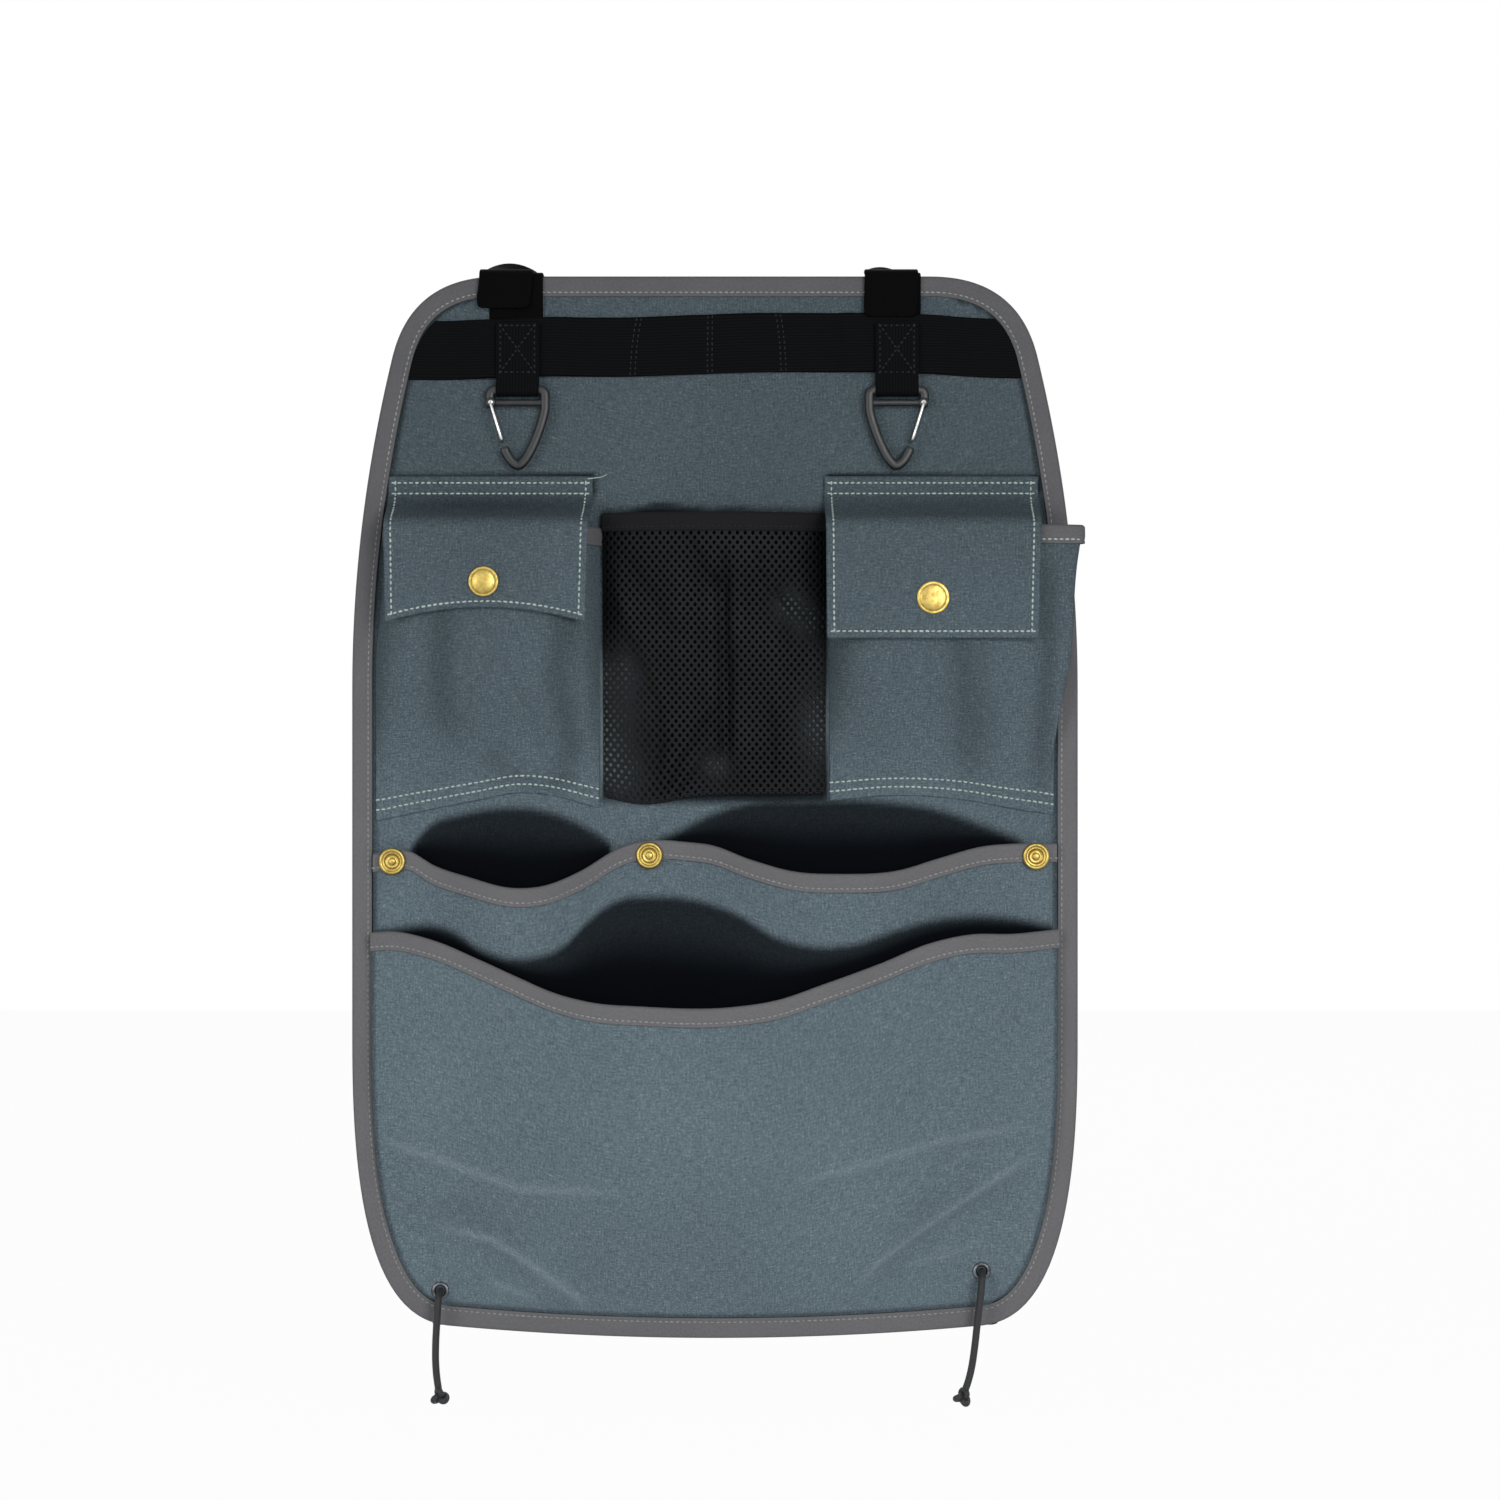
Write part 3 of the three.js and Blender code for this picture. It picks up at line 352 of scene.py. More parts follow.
def folded_tape(width: float, covered: float, thickness: float = 1.0, gap: float = 0.3) -> np.ndarray:
    """Section of a tape folded over an edge: a counts from its fold, b from the middle of the cloth.

    Args:
        width: From the fold to the free edges.
        covered: Thickness of the cloth inside.
        thickness: Of the tape.
        gap: Between the tape and the cloth.

    Returns:
        The section's points, with a groove where the stitches pull the front lip in.
    """
    inner = covered / 2 + gap
    outer = inner + thickness
    fold, groove = 1.9, 0.28
    front = [
        (width - 0.2, inner + 0.1), (width, (inner + outer) / 2), (width - 0.25, outer - 0.12),
        (width - 1.0, outer - 0.05), (width - 2.2, outer - groove), (width - 3.6, outer),
        (0.5 * width, outer + 0.06), (fold + 0.8, outer),
    ]
    front += [(fold * (1 - math.sin(t)), outer * math.cos(t)) for t in np.linspace(0.25, math.pi / 2, 4)]
    back = [(a, -b) for a, b in front[-2::-1]]
    hollow = [(fold + 0.4, -inner), (fold, 0.0), (fold + 0.4, inner)]
    return np.array(front + back + hollow)


def sweep(path: np.ndarray, sides: np.ndarray, section: np.ndarray, closed: bool = False,
          upright: bool = False, grow: np.ndarray | None = None) -> Draft:
    """A section carried along a path.

    Args:
        path: (n, 3) points.
        sides: (n, 3) or (3,) directions in which the section's first number counts.
        section: (k, 2) pairs.
        closed: Whether the path is a loop.
        upright: Keeps the sides as they are, instead of turning them square to the path.
        grow: Scale of the section at each point.

    Returns:
        The closed piece.
    """
    count, size = len(path), len(section)
    sides = np.broadcast_to(sides, path.shape).astype(float)
    if closed:
        tangents = unit(np.roll(path, -1, 0) - np.roll(path, 1, 0))
    else:
        padded = np.vstack([path[:1], path, path[-1:]])
        tangents = unit(padded[2:] - padded[:-2])
    lean = np.zeros((count, 1)) if upright else -np.sum(sides * tangents, 1, keepdims=True)
    side = unit(sides + lean * tangents)
    across = unit(np.cross(tangents, side))
    scale = np.ones(count) if grow is None else grow
    rings = path[:, None] + scale[:, None, None] * (
        side[:, None] * section[None, :, :1] + across[:, None] * section[None, :, 1:]
    )
    spans = count if closed else count - 1
    i, k = np.meshgrid(np.arange(spans), np.arange(size), indexing="ij")
    n, m = (i + 1) % count, (k + 1) % size
    faces = np.stack([i * size + k, i * size + m, n * size + m, n * size + k], -1).reshape(-1, 4)
    run = lengths_along(np.vstack([path, path[:1]]))
    girth = lengths_along(np.vstack([section, section[:1]]))
    u = np.stack([run[i], run[i], run[i + 1], run[i + 1]], -1)
    v = np.stack([girth[k], girth[k + 1], girth[k + 1], girth[k]], -1)
    corners = np.stack([u, v], -1).reshape(-1, 4, 2) * MM
    made = Draft()
    turned_out = made.add(rings.reshape(-1, 3), faces, corners)
    if not closed:
        ring = np.arange(size)
        last = ring + (count - 1) * size
        made.cap(ring if turned_out else ring[::-1])
        made.cap(last[::-1] if turned_out else last)
    return made


def turned(profile: Sequence[Pair], x: float, y: float, z: float, sides: int = 48) -> Draft:
    """A piece turned round an axis that points to the front.

    Args:
        profile: (radius, height) rows. A radius of 0 is a pole.
        x: Foot of the axis.
        y: Foot of the axis.
        z: Foot of the axis.
        sides: Faces round it.

    Returns:
        The closed piece.
    """
    up = np.array([0.0, -1.0, 0.0])
    one = unit(np.cross(up, [0.3, 0.2, 1.0]))
    two = np.cross(up, one)
    turn = 2 * math.pi * np.arange(sides) / sides
    around = np.cos(turn)[:, None] * one + np.sin(turn)[:, None] * two
    points = [np.array([x, y, z]) + radius * around + height * up for radius, height in profile]
    faces = []
    for j in range(len(profile) - 1):
        a = j * sides + np.arange(sides)
        b = j * sides + (np.arange(sides) + 1) % sides
        faces.append(np.stack([a, b, b + sides, a + sides], 1))
    made = Draft()
    made.add(np.vstack(points), np.vstack(faces))
    return made


def tidy_mesh(piece: bpy.types.Object) -> bpy.types.Object:
    """Closes the poles of a turned piece: merges its doubles and turns its faces outwards."""
    work = bmesh.new()
    work.from_mesh(piece.data)
    bmesh.ops.remove_doubles(work, verts=work.verts, dist=1e-6)
    bmesh.ops.dissolve_degenerate(work, edges=work.edges, dist=1e-7)
    bmesh.ops.recalc_face_normals(work, faces=work.faces)
    work.to_mesh(piece.data)
    work.free()
    return piece


# Shader maths


def srgb(red: float, green: float, blue: float) -> Colour:
    """Linear colour from 0 to 255 values as a screen shows them."""
    def linear(value: float) -> float:
        """One channel."""
        share = value / 255
        return share / 12.92 if share <= 0.04045 else ((share + 0.055) / 1.055) ** 2.4

    return linear(red), linear(green), linear(blue), 1.0


class Signal:
    """A socket in an expression. Its operators add Math nodes."""

    def __init__(self, sheet: "NodeSheet", socket: bpy.types.NodeSocket) -> None:
        """Wraps one output socket."""
        self.sheet = sheet
        self.socket = socket

    def __add__(self, other: "Signal | float") -> "Signal":
        """Sum."""
        return self.sheet.maths("ADD", self, other)

    __radd__ = __add__

    def __sub__(self, other: "Signal | float") -> "Signal":
        """Difference."""
        return self.sheet.maths("SUBTRACT", self, other)

    def __rsub__(self, other: float) -> "Signal":
        """Difference from a number."""
        return self.sheet.maths("SUBTRACT", other, self)

    def __mul__(self, other: "Signal | float") -> "Signal":
        """Product."""
        return self.sheet.maths("MULTIPLY", self, other)

    __rmul__ = __mul__

    def limited(self) -> "Signal":
        """The value kept from 0 to 1."""
        return self.sheet.node("ShaderNodeClamp", {}, {"Value": self})

    def sine(self) -> "Signal":
        """Sine of the value."""
        return self.sheet.maths("SINE", self)

    def eased(self, start: float, end: float) -> "Signal":
        """0 below start and 1 above end, with a smooth step between."""
        return self.sheet.node(
            "ShaderNodeMapRange", {"interpolation_type": "SMOOTHSTEP"},
            {"Value": self, "From Min": start, "From Max": end},
        )


class NodeSheet:
    """The node tree of a material or world, filled by expressions."""

    def __init__(self, owner: bpy.types.Material | bpy.types.World, output: str = "Material") -> None:
        """Clears the owner's tree, and adds only its output."""
        self.owner = owner
        owner.use_nodes = True
        self.tree = owner.node_tree
        self.tree.nodes.clear()
        self.output = self.tree.nodes.new("ShaderNodeOutput" + output)

    def node(self, kind: str, settings: dict, values: dict, output: int | str = 0) -> Signal:
        """Adds a node.

        Args:
            kind: Its type.
            settings: Its properties.
            values: Numbers, colours or links by socket name or number.
            output: The socket to hand back.

        Returns:
            The chosen output.
        """
        made = self.tree.nodes.new(kind)
        for key, value in settings.items():
            setattr(made, key, value)
        for key, value in values.items():
            if isinstance(value, Signal):
                self.tree.links.new(value.socket, made.inputs[key])
            else:
                made.inputs[key].default_value = value
        return Signal(self, made.outputs[output])

    def maths(self, operation: str, *values: "Signal | float") -> Signal:
        """A Math node."""
        return self.node("ShaderNodeMath", {"operation": operation}, dict(enumerate(values)))

    def mixed(self, share: Signal, first: "Signal | Colour", second: "Signal | Colour") -> Signal:
        """Two colours mixed."""
        factor, a, b, result = 0, 6, 7, 2
        values = {factor: share, a: first, b: second}
        return self.node("ShaderNodeMix", {"data_type": "RGBA"}, values, result)

    def tinted(self, colour: "Signal | Colour", share: Signal) -> Signal:
        """A colour times a value."""
        return self.node("ShaderNodeVectorMath", {"operation": "SCALE"}, {0: colour, "Scale": share})

    def noise(self, where: Signal, scale: float, detail: float = 2.0, rough: float = 0.55) -> Signal:
        """Noise from 0 to 1."""
        return self.node("ShaderNodeTexNoise", {}, {
            "Vector": where, "Scale": scale, "Detail": detail, "Roughness": rough})

    def stretched(self, where: Signal, scale: tuple[float, float, float]) -> Signal:
        """Coordinates stretched."""
        return self.node("ShaderNodeMapping", {}, {"Vector": where, "Scale": scale})

    def cloth_map(self) -> Signal:
        """Places on the cloth, in metres."""
        return self.node("ShaderNodeUVMap", {"uv_map": CLOTH_MAP}, {})

    def place(self) -> Signal:
        """Object coordinates, in metres."""
        return self.node("ShaderNodeTexCoord", {}, {}, "Object")

    def split(self, where: Signal) -> tuple[Signal, Signal, Signal]:
        """The three parts of a vector."""
        x = self.node("ShaderNodeSeparateXYZ", {}, {0: where})
        sockets = x.socket.node.outputs
        return x, Signal(self, sockets[1]), Signal(self, sockets[2])

    def mark(self, name: str) -> Signal:
        """A point attribute."""
        return self.node("ShaderNodeAttribute", {"attribute_name": name}, {}, "Fac")

    def bumped(self, height: Signal, strength: float, distance: float) -> Signal:
        """A normal from a height in 0 to 1."""
        return self.node("ShaderNodeBump", {}, {
            "Height": height, "Strength": strength, "Distance": distance})

    def surface(self, **sockets: "Signal | float | Colour") -> bpy.types.Material:
        """Ends the sheet in a Principled shader.

        Args:
            sockets: Socket names with _ for spaces.

        Returns:
            The finished material.
        """
        values = {name.replace("_", " "): value for name, value in sockets.items()}
        return self.end(self.node("ShaderNodeBsdfPrincipled", {}, values))

    def end(self, shader: Signal) -> bpy.types.Material | bpy.types.World:
        """Ends the sheet in a shader, and hands back the owner."""
        self.tree.links.new(shader.socket, self.output.inputs["Surface"])
        return self.owner


# Finishes


@dataclass(frozen=True)
class CanvasFinish:
    """Plain woven slate canvas with fine pale flecks."""

    name: str = "slate canvas"
    deep: Colour = srgb(70, 83, 91)
    body: Colour = srgb(94, 108, 115)
    fleck: Colour = srgb(130, 144, 149)
    # painted shade colour, mixed in wherever the cloth is painted darker
    mouth: Colour = srgb(3, 5, 9)
    wear_and_painted_tone: Colour = srgb(142, 156, 159)
    pitch: float = 0.00095

    def build(self) -> bpy.types.Material:
        """The material."""
        s = NodeSheet(bpy.data.materials.new(self.name))
        cloth = s.cloth_map()
        u, v, _ = s.split(cloth)
        turn = 2 * math.pi / self.pitch
        weave = (u * turn).sine() * (v * turn).sine() * 0.5 + 0.5
        grain = s.noise(cloth, 900, 3.0, 0.7)
        warp = s.noise(s.stretched(cloth, (1300, 160, 1)), 1.0, 1.0)
        weft = s.noise(s.stretched(cloth, (160, 1300, 1)), 1.0, 1.0)
        place = s.place()
        mottle = s.noise(place, 9, 3.0)
        fleck = (weave * 0.4 + grain * 1.7 + warp * 0.6 + weft * 0.6 - 1.2).limited()
        colour = s.mixed(fleck.eased(0.05, 0.6), self.deep, self.body)
        colour = s.mixed(fleck.eased(0.5, 1.0), colour, self.fleck)
        # painted shade: the cloth is painted darker towards the top, for light that falls off upwards
        painted_top_shade = 1.06 - s.split(place)[2].eased(-0.5, -0.05) * 0.5
        colour = s.tinted(colour, (mottle * 0.36 + 0.82) * painted_top_shade)
        # pale mix: real wear on creases, and painted light where light falls through the net
        colour = s.mixed(s.mark(WEAR_AND_PAINTED_LIGHT) * (grain * 0.8 + 0.3), colour, self.wear_and_painted_tone)
        # painted shade: darkens the cloth towards the mouth colour by the attribute
        colour = s.mixed(s.mark(PAINTED_SHADE), colour, self.mouth)
        height = weave * 0.45 + grain * 0.55
        return s.surface(
            Base_Color=colour, Roughness=0.82 + grain * 0.14, Normal=s.bumped(height, 0.6, 0.0004),
            Specular_IOR_Level=0.06,
        )


@dataclass(frozen=True)
class TapeFinish:
    """Ribbed grey binding tape."""

    name: str = "grey tape"
    deep: Colour = srgb(78, 77, 80)
    body: Colour = srgb(118, 118, 120)
    rib: float = 0.0008
    painted_top_shade_depth: float = 0.3

    def build(self) -> bpy.types.Material:
        """The material."""
        s = NodeSheet(bpy.data.materials.new(self.name))
        cloth = s.cloth_map()
        u, v, _ = s.split(cloth)
        turn = 2 * math.pi / self.rib
        twill = ((u + v * 0.6) * turn).sine() * 0.5 + 0.5
        grain = s.noise(cloth, 800, 3.0, 0.7)
        place = s.place()
        # painted shade: the tape is painted darker towards the top, like the canvas
        painted_top_shade = 1.02 - s.split(place)[2].eased(-0.4, 0.0) * self.painted_top_shade_depth
        share = (twill * 0.4 + grain * 0.9 - 0.15).limited()
        colour = s.tinted(s.mixed(share, self.deep, self.body), (s.noise(place, 30, 2.0) * 0.2 + 0.9) * painted_top_shade)
        return s.surface(
            Base_Color=colour, Roughness=0.78 + grain * 0.16,
            Normal=s.bumped(twill * 0.5 + grain * 0.5, 0.45, 0.00025),
            Specular_IOR_Level=0.1,
        )


@dataclass(frozen=True)
class WebbingFinish:
    """Woven webbing with ribs along it, or a fine plain strap."""

    name: str = "black webbing"
    deep: Colour = srgb(1, 1, 1)
    body: Colour = srgb(14, 15, 17)
    rib: float = 0.0017
    pick: float = 0.0011
    relief: float = 0.5

    def build(self) -> bpy.types.Material:
        """The material."""
        s = NodeSheet(bpy.data.materials.new(self.name))
        cloth = s.cloth_map()
        u, v, _ = s.split(cloth)
        ribs = (v * (2 * math.pi / self.rib)).sine() * 0.5 + 0.5
        picks = ((u + ribs * 0.0003) * (2 * math.pi / self.pick)).sine() * 0.5 + 0.5
        grain = s.noise(cloth, 1000, 2.0, 0.6)
        height = ribs * 0.45 + picks * 0.3 + grain * 0.25
        colour = s.mixed((height * 1.3 - 0.15).limited(), self.deep, self.body)
        return s.surface(
            Base_Color=colour, Roughness=0.62 + grain * 0.25,
            Normal=s.bumped(height, self.relief, 0.0003), Specular_IOR_Level=0.04,
        )


@dataclass(frozen=True)
class YarnFinish:
    """Spun or knitted yarn: stitches, mesh and cords."""

    name: str
    deep: Colour
    body: Colour
    scale: float = 700.0
    rough: float = 0.6
    shade: Colour = srgb(2, 2, 3)

    def build(self) -> bpy.types.Material:
        """The material."""
        s = NodeSheet(bpy.data.materials.new(self.name))
        where = s.place()
        grain = s.noise(where, self.scale, 2.0)
        patch = s.noise(where, 90, 1.0)
        colour = s.mixed((grain * 0.7 + patch * 0.5 - 0.1).limited(), self.deep, self.body)
        # painted shade: darkens the yarn by the attribute
        colour = s.mixed(s.mark(PAINTED_SHADE), colour, self.shade)
        return s.surface(
            Base_Color=colour, Roughness=self.rough + grain * 0.2,
            Normal=s.bumped(grain, 0.4, 0.0002), Specular_IOR_Level=0.12,
        )


@dataclass(frozen=True)
class BraidFinish:
    """Black braided cover of an elastic cord."""

    name: str = "black braid"
    deep: Colour = srgb(8, 8, 9)
    body: Colour = srgb(46, 47, 50)
    strand: float = 0.0011

    def build(self) -> bpy.types.Material:
        """The material."""
        s = NodeSheet(bpy.data.materials.new(self.name))
        u, v, _ = s.split(s.cloth_map())
        turn = 2 * math.pi / self.strand
        braid = ((u + v) * turn).sine() * ((u - v) * turn).sine() * 0.5 + 0.5
        colour = s.mixed(braid, self.deep, self.body)
        return s.surface(
            Base_Color=colour, Roughness=0.45 + braid * 0.2,
            Normal=s.bumped(braid, 0.6, 0.0003), Specular_IOR_Level=0.4,
        )


@dataclass(frozen=True)
class MetalFinish:
    """Plated or solid metal with tarnish in patches."""

    name: str
    bright: Colour
    dull: Colour
    rough: float = 0.25
    patchy: float = 0.5
    scale: float = 260.0

    def build(self) -> bpy.types.Material:
        """The material."""
        s = NodeSheet(bpy.data.materials.new(self.name))
        where = s.place()
        patch = s.noise(where, self.scale, 4.0, 0.65).eased(0.5 - self.patchy / 2, 0.5 + self.patchy / 2)
        fine = s.noise(where, 2600, 2.0)
        colour = s.mixed(patch, self.bright, self.dull)
        return s.surface(
            Base_Color=colour, Metallic=1.0, Roughness=patch * 0.22 + fine * 0.1 + self.rough,
            Normal=s.bumped(patch * 0.6 + fine * 0.4, 0.12, 0.0002),
        )


@dataclass(frozen=True)
class PlasticFinish:
    """Moulded dark plastic with a faint grain and rubbed patches."""

    name: str = "dark plastic"
    deep: Colour = srgb(8, 9, 10)
    body: Colour = srgb(25, 27, 30)

    def build(self) -> bpy.types.Material:
        """The material."""
        s = NodeSheet(bpy.data.materials.new(self.name))
        where = s.place()
        patch = s.noise(where, 220, 3.0)
        grain = s.noise(where, 2400, 2.0)
        colour = s.mixed(patch.eased(0.3, 0.75), self.deep, self.body)
        return s.surface(
            Base_Color=colour, Roughness=0.3 + patch * 0.22,
            Normal=s.bumped(grain, 0.12, 0.0002), Specular_IOR_Level=0.4,
        )


class Finishes:
    """Every finish of the organizer, each made once."""

    def __init__(self) -> None:
        """Builds the materials."""
        self.canvas = CanvasFinish().build()
        self.tape = TapeFinish().build()
        self.hem = TapeFinish("dark hem tape", srgb(12, 11, 13), srgb(38, 37, 40)).build()
        self.webbing = WebbingFinish().build()
        black = srgb(0, 0, 0), srgb(4, 4, 5)
        loops = WebbingFinish("black loop strap", *black, rib=0.0009, pick=0.0009, relief=0.3)
        self.strap = loops.build()
        self.net = YarnFinish("black mesh yarn", srgb(3, 4, 6), srgb(25, 28, 32), 900, 0.5).build()
        self.thread = YarnFinish("pale thread", srgb(122, 136, 132), srgb(196, 208, 202), 1400).build()
        self.grey_thread = YarnFinish("grey thread", srgb(98, 101, 101), srgb(160, 164, 162), 1400).build()
        self.dark_thread = YarnFinish("black thread", srgb(8, 8, 10), srgb(44, 45, 49), 1400, 0.45).build()
        self.braid = BraidFinish().build()
        gold = srgb(196, 174, 100), srgb(128, 106, 52)
        self.brass = MetalFinish("aged brass", *gold, rough=0.24, patchy=0.9, scale=420).build()
        self.nickel = MetalFinish("black nickel", srgb(120, 122, 126), srgb(62, 63, 66), 0.2, 0.5).build()
        self.wire = MetalFinish("bright wire", srgb(216, 217, 214), srgb(170, 171, 168), 0.18, 0.5).build()
        self.plastic = PlasticFinish().build()


# Geometry Nodes


class NodeRow:
    """A small builder for Geometry Nodes trees."""

    def __init__(self, name: str, inputs: dict[str, float]) -> None:
        """Starts a tree with a geometry input and named sizes.

        Args:
            name: The tree's name.
            inputs: Named sizes with their values.
        """
        self.tree = bpy.data.node_groups.new(name, "GeometryNodeTree")
        self.inputs = inputs
        self.tree.interface.new_socket("Geometry", in_out="INPUT", socket_type="NodeSocketGeometry")
        for label in inputs:
            self.tree.interface.new_socket(label, in_out="INPUT", socket_type="NodeSocketFloat")
        self.tree.interface.new_socket("Geometry", in_out="OUTPUT", socket_type="NodeSocketGeometry")
        self.source = self.tree.nodes.new("NodeGroupInput")

    def node(self, kind: str, settings: dict, values: dict) -> bpy.types.NodeSocket:
        """Adds a node with its settings and its values or links, and hands back its first output."""
        made = self.tree.nodes.new(kind)
        for key, value in settings.items():
            setattr(made, key, value)
        for key, value in values.items():
            if isinstance(value, bpy.types.NodeSocket):
                self.tree.links.new(value, made.inputs[key])
            else:
                made.inputs[key].default_value = value
        return made.outputs[0]

    def size(self, label: str) -> bpy.types.NodeSocket:
        """A named input."""
        return self.source.outputs[label]

    def end(self, geometry: bpy.types.NodeSocket, material: bpy.types.Material) -> None:
        """Ends the tree in Realize Instances and Set Material."""
        real = self.node("GeometryNodeRealizeInstances", {}, {0: geometry})
        done = self.node("GeometryNodeSetMaterial", {}, {"Geometry": real, "Material": material})
        self.tree.links.new(done, self.tree.nodes.new("NodeGroupOutput").inputs[0])

    def grow(self, name: str, source: bpy.types.Mesh) -> bpy.types.Object:
        """Runs the tree on a mesh.

        Args:
            name: The new piece's name.
            source: The mesh that the tree reads.

        Returns:
            A plain mesh piece, with no modifier left.
        """
        carrier = linked(name + "-source", source)
        modifier = carrier.modifiers.new("grow", "NODES")
        modifier.node_group = self.tree
        for item in self.tree.interface.items_tree:
            if item.in_out == "INPUT" and item.name in self.inputs:
                modifier[item.identifier] = self.inputs[item.name]
        graph = bpy.context.evaluated_depsgraph_get()
        mesh = bpy.data.meshes.new_from_object(carrier.evaluated_get(graph))
        bpy.data.objects.remove(carrier)
        return linked(name, mesh)


@dataclass
class Seams:
    """Rows of stitches, gathered as lines on the cloth and sewn in one go."""

    name: str
    pitch: float = 3.0
    length: float = 2.3
    width: float = 0.85
    height: float = 0.7
    lines: list[tuple[np.ndarray, np.ndarray]] = field(default_factory=list)

    def add(self, line: tuple[np.ndarray, np.ndarray]) -> None:
        """Takes one more line of points and facings."""
        self.lines.append(line)

    def row(self, start: Sequence[float], end: Sequence[float], facing: Sequence[float] = (0, -1, 0)) -> None:
        """Takes a straight line between two points."""
        points = np.linspace(start, end, 8)
        self.lines.append((points, np.broadcast_to(np.array(facing, float), points.shape)))

    def sew(self, material: bpy.types.Material, slot: str) -> None:
        """Makes the stitches as one plain mesh."""
        points = np.vstack([p for p, _ in self.lines]) * MM
        facing = np.vstack([n for _, n in self.lines])
        edges, start = [], 0
        for line, _ in self.lines:
            edges += [(k, k + 1) for k in range(start, start + len(line) - 1)]
            start += len(line)
        mesh = bpy.data.meshes.new(self.name)
        mesh.from_pydata(points.tolist(), edges, [])
        mesh.attributes.new(FACING, "FLOAT_VECTOR", "POINT").data.foreach_set("vector", facing.ravel())
        row = NodeRow("stitches", {
            "Pitch": self.pitch * MM, "Stitch Length": self.length * MM,
            "Thread Width": self.width * MM, "Thread Height": self.height * MM,
        })
        curve = row.node("GeometryNodeMeshToCurve", {}, {0: row.source.outputs[0]})
        spaced = row.node("GeometryNodeResampleCurve", {"mode": "LENGTH"}, {
            "Curve": curve, "Length": row.size("Pitch")})
        tangent = row.node("GeometryNodeInputTangent", {}, {})
        normal = row.node("GeometryNodeInputNamedAttribute", {"data_type": "FLOAT_VECTOR"}, {"Name": FACING})
        wobble = row.node("FunctionNodeRandomValue", {"data_type": "FLOAT_VECTOR"}, {
            0: (-0.16, -0.16, -0.16), 1: (0.16, 0.16, 0.16), "Seed": 7})
        jogged = row.node("ShaderNodeVectorMath", {"operation": "ADD"}, {0: tangent, 1: wobble})
        along = row.node("FunctionNodeAlignRotationToVector", {"axis": "X"}, {"Vector": jogged})
        turned_up = row.node("FunctionNodeAlignRotationToVector", {"axis": "Z", "pivot_axis": "X"}, {
            "Rotation": along, "Vector": normal})
        halves = [row.node("ShaderNodeMath", {"operation": "MULTIPLY"}, {0: row.size(label), 1: 0.5})
                  for label in ("Stitch Length", "Thread Width", "Thread Height")]
        size = row.node("ShaderNodeCombineXYZ", {}, dict(enumerate(halves)))
        ball = row.node("GeometryNodeMeshUVSphere", {}, {"Segments": 8, "Rings": 5, "Radius": 1.0})
        stitch = row.node("GeometryNodeTransform", {}, {"Geometry": ball, "Scale": size})
        spread = row.node("FunctionNodeRandomValue", {"data_type": "FLOAT_VECTOR"}, {
            0: (0.86, 0.85, 0.8), 1: (1.08, 1.15, 1.2), "Seed": 11})
        placed = row.node("GeometryNodeInstanceOnPoints", {}, {
            "Points": spaced, "Instance": stitch, "Rotation": turned_up, "Scale": spread})
        row.end(row.node("GeometryNodeSetShadeSmooth", {}, {0: placed}), material)
        settle(row.grow(self.name, mesh), BODY, slot)


